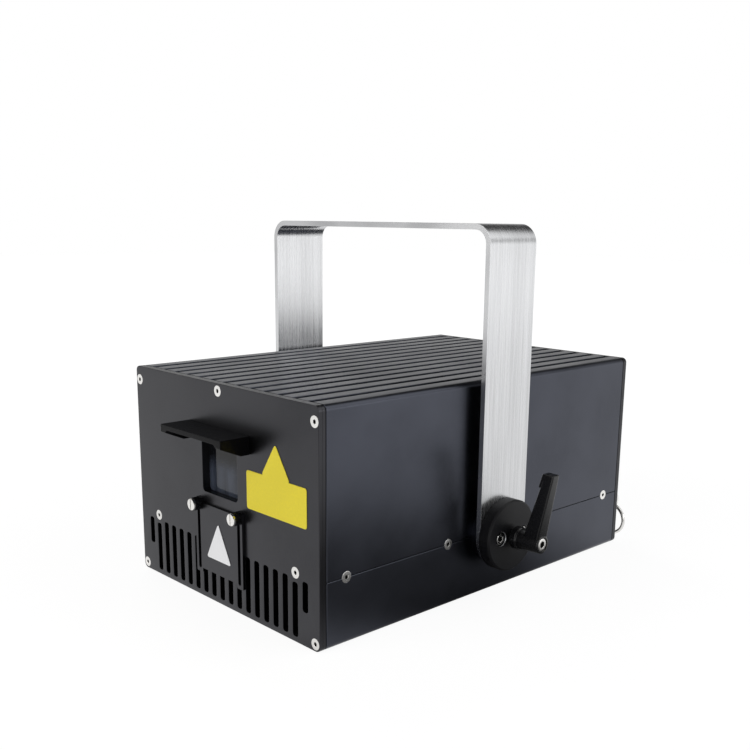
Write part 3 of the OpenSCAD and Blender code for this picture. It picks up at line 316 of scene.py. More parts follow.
    def lathe(self, profile: Profile, steps: int = 48) -> "Solid":
        """Turns a profile once about the Z axis.

        Args:
            profile: Radius and height of each point, in order.
            steps: Number of straight pieces round it.

        Returns:
            This solid.
        """
        verts = [self.bm.verts.new((r, 0, z)) for r, z in profile]
        edges = [self.bm.edges.new(pair) for pair in zip(verts, verts[1:])]
        return self.spin(verts + edges, steps)

    def torus(self, radius: float, wire: float, steps: int = 64) -> "Solid":
        """A ring of round wire about the Z axis.

        Args:
            radius: Radius of the wire's middle line.
            wire: Diameter of the wire.
            steps: Number of straight pieces round the ring.

        Returns:
            This solid.
        """
        made = bmesh.ops.create_circle(
            self.bm, segments=20, radius=wire / 2,
            matrix=Matrix.Translation((radius, 0, 0)) @ Matrix.Rotation(math.pi / 2, 4, "X"),
        )["verts"]
        edges = list({e for v in made for e in v.link_edges})
        return self.spin(made + edges, steps)

    def taper(
        self, root: Sequence[float], tip: Sequence[float], start: float, end: float, edge: float
    ) -> "Solid":
        """A bar along Y that goes from one rectangle to another.

        Args:
            root: Left, right, lower and upper side of the first rectangle.
            tip: The same of the second one.
            start: Where the first one lies.
            end: Where the second one lies.
            edge: Width of its rounded edges.

        Returns:
            This solid.
        """
        verts = [
            self.bm.verts.new((x, y, z))
            for (left, right, low, high), y in ((root, start), (tip, end))
            for x in (left, right) for z in (low, high)
        ]
        bmesh.ops.convex_hull(self.bm, input=verts)
        bmesh.ops.dissolve_limit(
            self.bm, angle_limit=0.02, verts=self.bm.verts, edges=self.bm.edges,
            use_dissolve_boundaries=False, delimit=set(),
        )
        return self.tidy().soften(edge, 3)

    def knurl(self, radius: float, depth: float, sides: int) -> "Solid":
        """Sinks every second line of points on a ring's outside.

        Args:
            radius: Radius of the ring.
            depth: Depth of the grooves.
            sides: Number of lines of points.

        Returns:
            This solid.
        """
        for vert in self.bm.verts:
            line = round(math.atan2(vert.co.y, vert.co.x) / math.tau * sides)
            if line % 2 and vert.co.xy.length > radius - 0.1:
                vert.co.xy *= 1 - depth / radius
        return self

    def block(self, low: Sequence[float], high: Sequence[float]) -> "Solid":
        """A rectangular block.

        Args:
            low: Its lowest corner.
            high: Its highest corner.

        Returns:
            This solid.
        """
        a, b = Vector(low), Vector(high)
        place = Matrix.Translation((a + b) / 2) @ Matrix.Diagonal((*(b - a), 1))
        bmesh.ops.create_cube(self.bm, size=1, matrix=place)
        return self

    def tidy(self) -> "Solid":
        """Merges doubles and turns every face outwards.

        Returns:
            This solid.
        """
        bmesh.ops.remove_doubles(self.bm, verts=self.bm.verts, dist=NEAR)
        bmesh.ops.recalc_face_normals(self.bm, faces=self.bm.faces)
        return self

    def turned(self, matrix: Matrix) -> "Solid":
        """Places the whole mesh.

        Args:
            matrix: The placing matrix.

        Returns:
            This solid.
        """
        bmesh.ops.transform(self.bm, matrix=matrix, verts=self.bm.verts)
        return self

    def moved(self, x: float, y: float, z: float) -> "Solid":
        """Shifts the whole mesh."""
        return self.turned(Matrix.Translation((x, y, z)))

    def add(self, other: "Solid") -> "Solid":
        """Adds another solid's mesh to this one.

        Args:
            other: The solid, which is used up.

        Returns:
            This solid.
        """
        mesh = bpy.data.meshes.new("part")
        other.bm.to_mesh(mesh)
        other.bm.free()
        self.bm.from_mesh(mesh)
        bpy.data.meshes.remove(mesh)
        return self

    def boolean(self, other: "Solid", operation: str = "DIFFERENCE") -> "Solid":
        """Cuts with another solid, or keeps what both share.

        Args:
            other: The tool, which is used up.
            operation: DIFFERENCE or INTERSECT.

        Returns:
            This solid.
        """
        pair = []
        for solid in (self, other):
            mesh = bpy.data.meshes.new("blank")
            solid.bm.to_mesh(mesh)
            solid.bm.free()
            pair.append(show("blank", mesh))
        cut = pair[0].modifiers.new("cut", "BOOLEAN")
        cut.operation = operation
        cut.solver = "EXACT"
        cut.object = pair[1]
        bpy.context.view_layer.update()
        graph = bpy.context.evaluated_depsgraph_get()
        shaped = bpy.data.meshes.new_from_object(pair[0].evaluated_get(graph))
        self.bm = bmesh.new()
        self.bm.from_mesh(shaped)
        for thing in pair:
            bpy.data.meshes.remove(thing.data)
        bpy.data.meshes.remove(shaped)
        return self

    def soften(
        self, width: float, segments: int = 2, angle: float = 35,
        where: Callable[[BMEdge], bool] | None = None,
    ) -> "Solid":
        """Rounds the sharp edges.

        Args:
            width: Width of the round.
            segments: Straight pieces across it.
            angle: Edges that turn less than this, in degrees, stay.
            where: Picks the edges, or None for all of them.

        Returns:
            This solid.
        """
        limit = math.radians(angle)
        sharp = [
            e for e in self.bm.edges
            if len(e.link_faces) == 2 and e.calc_face_angle(0) > limit and (not where or where(e))
        ]
        bmesh.ops.bevel(
            self.bm, geom=sharp, offset=width, offset_type="OFFSET", segments=segments,
            profile=0.5, affect="EDGES", material=-1, clamp_overlap=True,
        )
        return self

    def shade_socket(self, index: int, radius: float, depth: float) -> "Solid":
        """Gives the walls and floor of a blind socket another finish, which paints shade into it.

        Args:
            index: Which of the piece's finishes they get.
            radius: Radius of the socket over its corners.
            depth: Depth of its floor below the head's face at zero.

        Returns:
            This solid.
        """
        low, high = -depth - 0.1, -0.25

        def inside(face: BMFace) -> bool:
            """Whether a face belongs to the socket, below its chamfer."""
            middle = face.calc_center_median()
            return middle.xy.length < radius and low < middle.z < high

        return self.paint(index, inside)

    def paint(self, index: int, where: Callable[[BMFace], bool] | None = None) -> "Solid":
        """Gives faces another finish.

        Args:
            index: Which of the piece's finishes they get.
            where: Picks the faces, or None for all of them.

        Returns:
            This solid.
        """
        for face in self.bm.faces:
            if where is None or where(face):
                face.material_index = index
        return self


class Socket:
    """A value in a node tree that takes part in Python arithmetic."""

    def __init__(self, nodes: "Nodes", out: bpy.types.NodeSocket) -> None:
        """Wraps an output socket.

        Args:
            nodes: The tree that it belongs to.
            out: The socket.
        """
        self.nodes = nodes
        self.out = out

    def _maths(self, operation: str, *values: "Socket | float") -> "Socket":
        """Adds one Math node."""
        return self.nodes.node("ShaderNodeMath", {"operation": operation}, dict(enumerate(values)))

    def __add__(self, other: "Socket | float") -> "Socket":
        """Sum."""
        return self._maths("ADD", self, other)

    __radd__ = __add__

    def __sub__(self, other: "Socket | float") -> "Socket":
        """Difference."""
        return self._maths("SUBTRACT", self, other)

    def __rsub__(self, other: float) -> "Socket":
        """Difference from a number."""
        return self._maths("SUBTRACT", other, self)

    def __mul__(self, other: "Socket | float") -> "Socket":
        """Product."""
        return self._maths("MULTIPLY", self, other)

    __rmul__ = __mul__

    def __abs__(self) -> "Socket":
        """Size without its sign."""
        return self._maths("ABSOLUTE", self)

    def ramp(self, low: float, high: float, to_low: float = 0, to_high: float = 1) -> "Socket":
        """Maps a span of values to another, smoothly and held at both ends.

        Args:
            low: Start of the span.
            high: End of the span.
            to_low: Result at the start.
            to_high: Result at the end.

        Returns:
            The mapped value.
        """
        return self.nodes.node(
            "ShaderNodeMapRange", {"interpolation_type": "SMOOTHSTEP"},
            {"Value": self, "From Min": low, "From Max": high, "To Min": to_low, "To Max": to_high},
        )


class Nodes:
    """Adds nodes to one tree."""

    def __init__(self, tree: bpy.types.NodeTree) -> None:
        """Takes the tree.

        Args:
            tree: The node tree of a material or of the world.
        """
        self.tree = tree

    def node(
        self, kind: str, settings: dict[str, object] | None = None,
        values: dict[str | int, object] | None = None, out: str | int = 0,
    ) -> Socket:
        """Adds any node.

        Args:
            kind: The node's type.
            settings: Its own settings, which are set first.
            values: Values or links of its sockets, by name or place.
            out: The output that is wanted.

        Returns:
            That output.
        """
        made = self.tree.nodes.new(kind)
        for key, value in (settings or {}).items():
            setattr(made, key, value)
        for key, value in (values or {}).items():
            self.give(made.inputs[key], value)
        return Socket(self, made.outputs[out])

    def give(self, target: bpy.types.NodeSocket, value: object) -> None:
        """Links a socket, or sets its value.

        Args:
            target: The socket.
            value: Another socket, a number or a colour.
        """
        if isinstance(value, Socket):
            self.tree.links.new(value.out, target)
        else:
            target.default_value = value

    def seen(self, ray: str, looks: tuple[Socket, Socket], share: float = 1) -> Socket:
        """Gives one kind of ray a look of its own.

        Args:
            ray: The kind, as Glossy, Transmission or Camera.
            looks: What the other rays see, then what this kind sees.
            share: How much of its own look this kind sees.

        Returns:
            The mixed shader.
        """
        own = self.node("ShaderNodeLightPath", out=f"Is {ray} Ray")
        factor = own if share == 1 else own * share
        return self.node("ShaderNodeMixShader", None, {0: factor, 1: looks[0], 2: looks[1]})

    def end(self, last: Socket, output: str) -> None:
        """Links the last shader to the tree's output node."""
        self.give(self.tree.nodes[output].inputs["Surface"], last)


class Paint(Nodes):
    """Builds one material's nodes."""

    def __init__(self, name: str) -> None:
        """Starts a material with a Principled shader.

        Args:
            name: The material's name.
        """
        self.material = bpy.data.materials.new(name)
        self.material.use_nodes = True
        super().__init__(self.material.node_tree)
        self.shader = self.tree.nodes["Principled BSDF"]

    def place(self, scale: Sequence[float] = (1, 1, 1)) -> Socket:
        """The point on the piece, in millimetres times a scale.

        Args:
            scale: Stretch along each axis.

        Returns:
            The vector.
        """
        point = self.node("ShaderNodeTexCoord", out="Object")
        values = {"Vector": point, "Scale": tuple(s / MM for s in scale)}
        return self.node("ShaderNodeMapping", {"vector_type": "POINT"}, values)

    def noise(
        self, scale: float, detail: float = 2, stretch: Sequence[float] = (1, 1, 1)
    ) -> Socket:
        """Cloudy pattern.

        Args:
            scale: Clouds in each millimetre.
            detail: How many finer layers it has.
            stretch: Stretch along each axis.

        Returns:
            Its value.
        """
        return self.node(
            "ShaderNodeTexNoise", None,
            {"Vector": self.place(stretch), "Scale": scale, "Detail": detail},
        )

    def mix(self, factor: Socket | float, a: Sequence[float], b: Sequence[float]) -> Socket:
        """Blends two colours.

        Args:
            factor: Share of the second one.
            a: First colour, or its socket.
            b: Second colour.

        Returns:
            The blend.
        """
        first = a if isinstance(a, Socket) else (*a, 1.0)
        return self.node(
            "ShaderNodeMix", {"data_type": "RGBA"}, {0: factor, 6: first, 7: (*b, 1.0)}, out=2
        )

    def tones(self, factor: Socket, colour: Colour, low: float, high: float) -> Socket:
        """Blends a darker and a lighter tone of a colour.

        Args:
            factor: Share of the lighter one.
            colour: The colour.
            low: What the darker tone is of it.
            high: What the lighter tone is of it.

        Returns:
            The blend.
        """
        dark, light = (tuple(min(1, c * share) for c in colour) for share in (low, high))
        return self.mix(factor, dark, light)

    def bump(self, height: Socket, depth: float) -> None:
        """Roughens the surface.

        Args:
            height: The pattern.
            depth: Height of its peaks in millimetres.
        """
        values = {"Strength": 1, "Distance": depth * MM, "Height": height}
        self.set(Normal=self.node("ShaderNodeBump", None, values))

    def set(self, **values: object) -> None:
        """Sets the shader's sockets, with underscores for spaces.

        Args:
            values: Values or links by socket name.
        """
        for key, value in values.items():
            self.give(self.shader.inputs[key.replace("_", " ")], value)

    def axis(self, name: str) -> Socket:
        """One coordinate of the point on the piece, in millimetres."""
        return self.node("ShaderNodeSeparateXYZ", None, {"Vector": self.place()}, out=name)


@dataclass(frozen=True)
class Coating:
    """A painted, anodised or moulded finish with a fine grain."""

    name: str
    colour: Colour
    roughness: float
    grain: float = 3.0
    grain_depth: float = 0.006
    spread: float = 0.10
    metallic: float = 0.0
    specular: float = 0.5

    def build(self) -> bpy.types.Material:
        """Makes the material.

        Returns:
            The material.
        """
        paint = Paint(self.name)
        cloud = paint.noise(0.02, 3)
        fine = paint.noise(self.grain, 3)
        tone = (cloud * 0.6 + fine * 0.4).ramp(0.35, 0.65)
        smooth, rough = self.roughness - 0.04, self.roughness + 0.05
        paint.set(
            Base_Color=paint.tones(tone, self.colour, 1 - self.spread, 1 + self.spread),
            Roughness=(cloud * 0.5 + fine * 0.5).ramp(0.3, 0.7, smooth, rough),
            Metallic=self.metallic,
            Specular_IOR_Level=self.specular,
        )
        paint.bump(fine, self.grain_depth)
        return paint.material


@dataclass(frozen=True)
class Span:
    """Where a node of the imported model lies, in millimetres."""

    low: Vector
    high: Vector

    @classmethod
    def of(cls, node: str) -> "Span":
        """Measures a node.

        Args:
            node: Its name.

        Returns:
            Its lowest and highest corner.
        """
        low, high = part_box(node)
        return cls(low / MM, high / MM)

    @property
    def mid(self) -> Vector:
        """Its middle."""
        return (self.low + self.high) / 2

    @property
    def size(self) -> Vector:
        """Its length along each axis."""
        return self.high - self.low


@dataclass(frozen=True)
class YokeSteel:
    """Stainless bar with polishing lines that follow it round its bends."""

    name: str
    colour: Colour
    roughness: float
    dark: float = 0.88
    light: float = 1.09
    line_depth: float = 0.0015

    def build(self) -> bpy.types.Material:
        """Makes the material.

        Returns:
            The material.
        """
        paint = Paint(self.name)
        y = paint.axis("Y")
        along = paint.axis("Z") - abs(paint.axis("X"))

        def streaks(across: float, length: float, detail: float) -> Socket:
            """Draws noise out along the bar.

            Args:
                across: Streaks in each millimetre of the bar's width.
                length: Streaks in each millimetre of its length.
                detail: How many finer layers it has.

            Returns:
                Its value.
            """
            point = {"X": y * across, "Y": along * length}
            vector = paint.node("ShaderNodeCombineXYZ", None, point)
            values = {"Vector": vector, "Scale": 1.0, "Detail": detail}
            return paint.node("ShaderNodeTexNoise", None, values)

        hair = streaks(2.6, 0.02, 2)
        band = streaks(0.5, 0.004, 2)
        broad = streaks(0.1, 0.002, 1)
        tone = (hair * 0.45 + band * 0.35 + broad * 0.2).ramp(0.38, 0.62)
        smooth, rough = self.roughness - 0.03, self.roughness + 0.05
        paint.set(
            Base_Color=paint.tones(tone, self.colour, self.dark, self.light),
            Roughness=(hair * 0.6 + band * 0.4).ramp(0.35, 0.65, smooth, rough),
            Metallic=1.0,
        )
        paint.bump(hair, self.line_depth)
        return paint.material


@dataclass(frozen=True)
class Glass:
    """Coated window glass in front of a dark box, with a painted shadow of the hood over its upper
    part.
    """

    name: str
    colour: Colour
    roughness: float
    specular: float = 0.12
    cool: float = 1.9
    hood_shadow_heights: tuple[float, float] = (96.0, 110.0)
    wave: float = 10.0
    hood_shadow_colour: Colour = (0.004, 0.0045, 0.006)

    def build(self) -> bpy.types.Material:
        """Makes the material.

        Returns:
            The material.
        """
        paint = Paint(self.name)
        glass_streaks = paint.noise(0.1, 2, (1, 1, 0.1)) * 0.7 + paint.noise(0.04, 1) * 0.3
        # Above the shade heights the colour turns near-black: a painted shadow of the hood, whose
        # lower edge waves with the streaks.
        level = paint.axis("Z") + glass_streaks * self.wave - self.wave / 2
        lit = paint.tones(glass_streaks.ramp(0.38, 0.62), self.colour, 1, self.cool)
        paint.set(
            Base_Color=paint.mix(level.ramp(*self.hood_shadow_heights), lit, self.hood_shadow_colour),
            Roughness=glass_streaks.ramp(0.3, 0.7, self.roughness, self.roughness + 0.03),
            Transmission_Weight=0.3,
            IOR=1.5,
            Specular_IOR_Level=self.specular,
        )
        return paint.material


@dataclass(frozen=True)
class Board:
    """Lacquered circuit board with a faint lattice of conductors."""

    name: str
    colour: Colour
    lattice: float = 0.12
    track: float = 0.06
    copper: float = 1.9

    def build(self) -> bpy.types.Material:
        """Makes the material.

        Returns:
            The material.
        """
        paint = Paint(self.name)
        point = paint.place((self.lattice,) * 3)
        values = {"Vector": point, "Scale": 1.0, "Mortar Size": self.track}
        grid = paint.node("ShaderNodeTexBrick", {"offset": 0.5}, values, out="Fac")
        paint.set(
            Base_Color=paint.tones(grid, self.colour, 1, self.copper),
            Roughness=paint.noise(0.2).ramp(0.3, 0.7, 0.32, 0.46),
        )
        return paint.material


class Finish(Enum):
    """Every finish on the projector."""

    CASING = Coating("black_anodised_finish", (0.0600, 0.0640, 0.0790), 0.30, metallic=1.0)
    # A darker, less blue copy of the casing's anodising for the end panels and the shutter plate:
    # painted shade.
    PANEL = Coating("black_anodised_shaded_panel_finish", (0.0440, 0.0442, 0.0485), 0.30, metallic=1.0)
    # A near-black, nearly matte copy of the black anodising for the hood: painted shade.
    HOOD = Coating(
        "black_anodised_hood_shade_finish", (0.005, 0.005, 0.006), 0.25,
        grain_depth=0.004, spread=0.15, specular=0.06,
    )
    DISC = Coating(
        "black_anodised_disc_finish", (0.006, 0.006, 0.0075), 0.46, spread=0.15, specular=0.22
    )
    PLASTIC = Coating(
        "black_plastic_finish", (0.005, 0.005, 0.006), 0.26, 1.6, 0.008, 0.15, specular=0.40
    )
    FIBRE = Coating("fibre_finish", (0.030, 0.028, 0.026), 0.85, 5.0, 0.03, 0.2)
    YELLOW = Coating(
        "yellow_foil_finish", (0.92, 0.775, 0.050), 0.45, 0.6, 0.003, 0.04, specular=0.25
    )
    BLUE = Coating("blue_plastic_finish", (0.03, 0.09, 0.42), 0.38, 1.5, 0.010, 0.08)
    DISPLAY = Coating("display_black_finish", (0.008, 0.010, 0.013), 0.08, 0.4, 0.0005, 0.08)
    LASER_RED = Coating("laser_anodised_red_finish", (0.22, 0.04, 0.04), 0.38, metallic=0.6)
    LASER_GREEN = Coating("laser_anodised_green_finish", (0.04, 0.17, 0.07), 0.38, metallic=0.6)
    LASER_BLUE = Coating("laser_anodised_blue_finish", (0.04, 0.07, 0.26), 0.38, metallic=0.6)
    BADGE = Coating("silver_badge_finish", (0.72, 0.72, 0.73), 0.34, 1.2, 0.003, 0.04, 0.85)
    BARE = Coating("bare_aluminium_finish", (0.62, 0.63, 0.65), 0.36, 2.0, 0.006, 0.08, 1.0)
    SCREW = Coating("steel_finish", (0.74, 0.73, 0.71), 0.24, 2.5, 0.004, 0.10, 1.0)
    NICKEL = Coating("nickel_finish", (0.60, 0.59, 0.56), 0.28, 2.0, 0.004, 0.06, 1.0)
    OXIDE = Coating("black_oxide_finish", (0.045, 0.045, 0.05), 0.30, 2.0, metallic=0.9)
    # Dark, rough colour inside the screw sockets: painted shade in the hollows of the steel heads.
    RECESS = Coating("screw_socket_shade_finish", (0.022, 0.022, 0.018), 0.55, 2.0, 0.006, 0.2, 0.5)
    CONTACT = Coating("gilt_contact_finish", (0.74, 0.55, 0.25), 0.28, 2.0, 0.003, 0.06, 1.0)
    MIRROR = Coating("mirror_coat_finish", (0.80, 0.85, 0.92), 0.05, 0.3, 0.0004, 0.02, 1.0)
    YOKE = YokeSteel("brushed_stainless_finish", (0.572, 0.577, 0.587), 0.25)
    WINDOW = Glass("window_glass_finish", (0.040, 0.048, 0.068), 0.05)
    BOARD = Board("circuit_board_finish", (0.02, 0.16, 0.07))

    def material(self) -> bpy.types.Material:
        """The finish's material, which is made when it is first asked for.

        Returns:
            The material.
        """
        found = bpy.data.materials.get(self.value.name)
        return found or self.value.build()


@dataclass
class Assembly:
    """A group of pieces that are built and dressed together."""

    frame: dict
    body: str = "housing"

    def build(self) -> None:
        """Builds every piece of the group."""
        raise NotImplementedError

    def piece(
        self, name: str, solid: Solid, finishes: Sequence[Finish], replaces: Sequence[str] = (),
        slot: str = "", body: str = "", crease: float = 32,
    ) -> bpy.types.Object:
        """Turns a solid into a piece of the scene.

        Args:
            name: The piece's name.
            solid: Its mesh in millimetres, which is used up.
            finishes: Its finishes, by material index.
            replaces: Nodes that it stands for.
            slot: The record's material slot; not used.
            body: The body it rides on, or nothing for the group's own.
            crease: Edges that turn more than this, in degrees, stay sharp.

        Returns:
            The piece.
        """
        limit = math.radians(crease)
        for face in solid.bm.faces:
            face.smooth = True
        for edge in solid.bm.edges:
            edge.smooth = len(edge.link_faces) == 2 and edge.calc_face_angle(0) < limit
        bmesh.ops.transform(solid.bm, matrix=Matrix.Scale(MM, 4), verts=solid.bm.verts)
        mesh = bpy.data.meshes.new(name)
        solid.bm.to_mesh(mesh)
        solid.bm.free()
        for finish in finishes:
            mesh.materials.append(finish.material())
        thing = show(name, mesh)
        normals = thing.modifiers.new("normals", "WEIGHTED_NORMAL")
        normals.keep_sharp = True
        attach(thing, body or self.body)
        if replaces:
            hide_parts(*replaces)
        LOG.info("%s: %d faces on %s", name, len(mesh.polygons), body or self.body)
        return thing

    def dress(self, finish: Finish, *nodes: str) -> None:
        """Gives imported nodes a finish.

        Args:
            finish: The finish.
            nodes: Names of the nodes.
        """
        for node in nodes:
            thing = self.frame["nodes"][node]
            thing.data.materials.clear()
            thing.data.materials.append(finish.material())
            LOG.info("%s: dressed as %s", node, finish.value.name)


@dataclass(frozen=True)
class FlatScrew:
    """A countersunk screw with a hexagon socket."""

    head: float = 8.0
    shank: float = 4.0
    socket: float = 3.0
    depth: float = 1.8
    length: float = 18.0

    @property
    def cone(self) -> float:
        """Depth of the head's cone."""
        return (self.head - self.shank) / 2

    def solid(self) -> Solid:
        """Draws the screw with its head's face at zero.

        Returns:
            The solid.
        """
        inner = -self.cone
        return Solid().plate(
            [Rim.ring(0, 0, self.head, 40), Rim.ring(0, 0, self.socket, 6)],
            [(-0.3, 0), (-0.08, -0.08), (0, -0.3), (inner, inner - 0.3), (inner, -self.length)],
            hole_steps=[(0.18, 0), (0, -0.18), (0, -self.depth)], blind=(1,),
        ).shade_socket(1, self.socket / 2, self.depth)

    def at(self, places: Iterable[Matrix]) -> Solid:
        """Repeats the screw.

        Args:
            places: Where each one goes.

        Returns:
            All of them as one solid.
        """
        group = Solid()
        for place in places:
            group.add(self.solid().turned(place))
        return group

    def sink(self) -> list[tuple[float, float]]:
        """Steps of the hole that the screw needs in a plate 6 mm thick or less."""
        inner = -self.cone
        return [(0.25, 0), (0.1, -0.15), (inner + 0.1, inner - 0.1), (inner + 0.1, -6)]


@dataclass
class Casing(Assembly):
    """Front and rear panels, ribbed cover, tray, and their screws."""

    corner: float = 4.0
    wall: float = 4.0
    roof: float = 7.0
    floor: float = 3.8
    groove_count: int = 13
    groove_pitch: float = 15.5
    groove_w: float = 5.0
    groove_depth: float = 2.5
    groove_rounds: tuple[float, float] = (0.45, 0.3)
    block: float = 6.0
    block_in: float = 4.6
    block_down: float = 10.3
    block_up: float = 5.0
    keel: float = 4.0
    shadow: float = 0.6
    shadow_depth: float = 1.2
    vent_count: int = 19
    vent_pitch: float = 10.5
    vent_w: float = 5.5
    vent_r: float = 1.9
    vent_low: float = 3.9
    vent_high: float = 44.6
    vent_outer_low: float = 23.8
    vent_short_high: float = 41.8
    rear_vent: Rim = Rim(45.0, 23.5, 5.5, 31, 1.9)
    rear_vents: int = 11
    aperture: Rim = Rim(0, 100.7, 42.6, 38.8, 3.0)
    pins: tuple[Rim, ...] = (Rim.ring(-24.6, 71.65, 3.2, 24), Rim.ring(24.6, 71.65, 3.2, 24))
    rear_openings: tuple[Rim, ...] = (
        *(Rim.ring(x, 85, 24, 64) for x in (82, 50, 18, -14)),
        Rim.ring(82, 23.5, 24, 64), Rim.ring(-52.4, 85, 16.2), Rim.ring(6, 128, 6.1, 32),
        Rim.ring(-96, 31.8, 6.2, 32), Rim(-50, 128, 41, 10.5, 0.6), Rim(50, 128, 40, 20, 0.6),
    )
    end_screws: tuple[tuple[float, float], ...] = (
        (-104.4, 151.7), (104.4, 151.7), (-104.4, 5.0), (104.4, 5.0),
        (-84.2, 48.3), (84.2, 48.3), (0.0, 156.6),
    )
    side_pitch: float = 96.8
    side_sink: Profile = ((0, 1), (5.2, 1), (4.1, -0.1), (2.1, -2.1), (2.1, -7), (0, -7))
    screw: FlatScrew = FlatScrew()
    side_screw: FlatScrew = FlatScrew(length=14.0)

    def __post_init__(self) -> None:
        """Measures the panels and shells."""
        self.front = Span.of("front_panel")
        self.rear = Span.of("rear_panel")
        self.cover = Span.of("top_cover")
        self.tray = Span.of("base_tray")
        size = self.front.size
        self.outline = Rim(0, self.front.mid.z, size.x, size.z, self.corner)
        self.side_ys = [i * self.side_pitch for i in (-1.5, -0.5, 0.5, 1.5)]
        self.seam = (self.cover.low.z + self.tray.high.z) / 2

    def build(self) -> None:
        """Builds every piece of the casing."""
        self.front_plate()
        self.rear_plate()
        self.upper_shell()
        self.lower_shell()
        self.screws()

    def rim_steps(self, thickness: float) -> list[tuple[float, float]]:
        """Steps of a panel's edge: chamfer, fine groove, shadow gap.

        Args:
            thickness: The panel's thickness.

        Returns:
            Growth and height of each ring.
        """
        back = thickness - self.shadow
        return [
            (-0.5, 0), (-0.12, -0.12), (0, -0.5), (0, -back / 2), (-0.18, -back / 2 - 0.1),
            (0, -back / 2 - 0.2), (0, -back + 0.25), (-0.25, -back), (-self.shadow_depth, -back),
            (-self.shadow_depth, -thickness),
        ]

    def vents(self) -> list[Rim]:
        """Lays out the front vent slots.

        Returns:
            Their outlines.
        """
        made = []
        outer = self.vent_count // 2
        for i in range(-outer, outer + 1):
            low = self.vent_outer_low if abs(i) == outer else self.vent_low
            high = self.vent_short_high if abs(i) == outer - 1 else self.vent_high
            x, z = i * self.vent_pitch, (low + high) / 2
            made.append(Rim(x, z, self.vent_w, high - low, self.vent_r))
        return made

    def panel(
        self, name: str, holes: Sequence[Rim], steps: Profile, thickness: float, place: Matrix
    ) -> None:
        """Builds a panel with its openings and the sinks of its seven screws.

        Args:
            name: front or rear.
            holes: Outlines of the openings.
            steps: Growth and height of each ring down an opening.
            thickness: The panel's thickness.
            place: The placing matrix.
        """
        side = 1 if name == "front" else -1
        screws = [Rim.ring(side * x, z, self.screw.head, 40) for x, z in self.end_screws]
        rims = [self.outline, *holes, *screws]
        sink = [(grow, max(z, -thickness)) for grow, z in self.screw.sink()]
        special = {i: sink for i in range(len(rims) - len(screws), len(rims))}
        solid = Solid().plate(rims, self.rim_steps(thickness), steps, special).turned(place)
        self.piece(f"{name}_plate", solid, [Finish.PANEL], [f"{name}_panel"], "black_anodised")

    def front_plate(self) -> None:
        """Builds the front panel."""
        t = self.front.size.y
        steps = [(0.4, 0), (0.1, -0.1), (0, -0.4), (0, -t)]
        place = Facing.FRONT.turn((0, self.front.low.y, 0))
        self.panel("front", [self.aperture, *self.vents(), *self.pins], steps, t, place)

    def rear_plate(self) -> None:
        """Builds the rear panel with its openings."""
        t, first = self.rear.size.y, self.rear_vent
        vents = [replace(first, x=first.x - i * self.vent_pitch) for i in range(self.rear_vents)]
        place = Facing.REAR.turn((0, self.rear.high.y, 0))
        steps = [(0.3, 0), (0, -0.3), (0, -t)]
        self.panel("rear", [*vents, *self.rear_openings], steps, t, place)

    def upper_shell(self) -> None:
        """Builds the ribbed cover."""
        half, top, low = self.cover.high.x, self.cover.high.z, self.cover.low.z
        inner, roof = half - self.wall, top - self.roof
        block_x, block_z = half - self.block_in - self.block, top - self.block_down - self.block
        keel, edge, depth = roof - self.keel, self.groove_w / 2, top - self.groove_depth
        lip, foot = self.groove_rounds
        points = [(inner, low), (half, low), (half, top)]
        radii = [0.0, 0.4, self.corner]
        for i in range(self.groove_count // 2, 0, -1):
            for side in (1, -1):
                x = i * self.groove_pitch + side * edge
                points += [(x, top), (x, depth)][::side]
                radii += [lip, foot][::side]
        points += [(edge, top), (edge, depth)]
        radii += [lip, foot]
        outer = points + [(-x, z) for x, z in reversed(points)][:-1]
        outer_radii = radii + radii[::-1][:-1]
        inside = [
            (-inner, low), (-inner, block_z), (-block_x, block_z), (-block_x, roof),
            (-self.block, roof), (-self.block, keel), (self.block, keel), (self.block, roof),
            (block_x, roof), (block_x, block_z), (inner, block_z),
        ]
        outer_radii += [0.0] * len(inside)
        solid = Solid().slab(outer + inside, outer_radii, 0, -self.cover.size.y, segments=3)
        self.finish_shell(solid, self.cover, "cover_shell", "top_cover")

    def lower_shell(self) -> None:
        """Builds the tray."""
        half, top = self.tray.high.x, self.tray.high.z
        inner = half - self.wall
        block_x, block_z = half - self.block_in - self.block, self.block_up + self.block
        right = [
            (half, top), (inner, top), (inner, block_z), (block_x, block_z), (block_x, self.floor)
        ]
        points = right + [(-x, z) for x, z in reversed(right)] + [(-half, 0), (half, 0)]
        radii = [0.5] + [0.0] * 8 + [0.5, self.corner, self.corner]
        solid = Solid().slab(points, radii, 0, -self.tray.size.y, segments=3)
        self.finish_shell(solid, self.tray, "tray_shell", "base_tray")

    def finish_shell(self, solid: Solid, span: Span, name: str, node: str) -> None:
        """Breaks a shell's end edges, sinks its side screws and places it.

        Args:
            solid: The extruded section.
            span: Where the shell lies.
            name: The piece's name.
            node: The node that it stands for.
        """
        solid.soften(0.25, 1, 60, lambda e: abs(e.verts[0].co.z - e.verts[1].co.z) < NEAR)
        solid.turned(Facing.FRONT.turn((0, span.low.y, 0)))
        cutter = Solid()
        for place in self.side_places():
            cutter.add(Solid().lathe(self.side_sink, 40).turned(place))
        self.piece(name, solid.boolean(cutter), [Finish.CASING], [node], "black_anodised")

    def side_places(self) -> list[Matrix]:
        """Places the side screws.

        Returns:
            Placing matrices, first of the right side and then of the left.
        """
        half = self.front.high.x
        sides = ((Facing.RIGHT, half), (Facing.LEFT, -half))
        return [facing.turn((x, y, self.seam)) for facing, x in sides for y in self.side_ys]

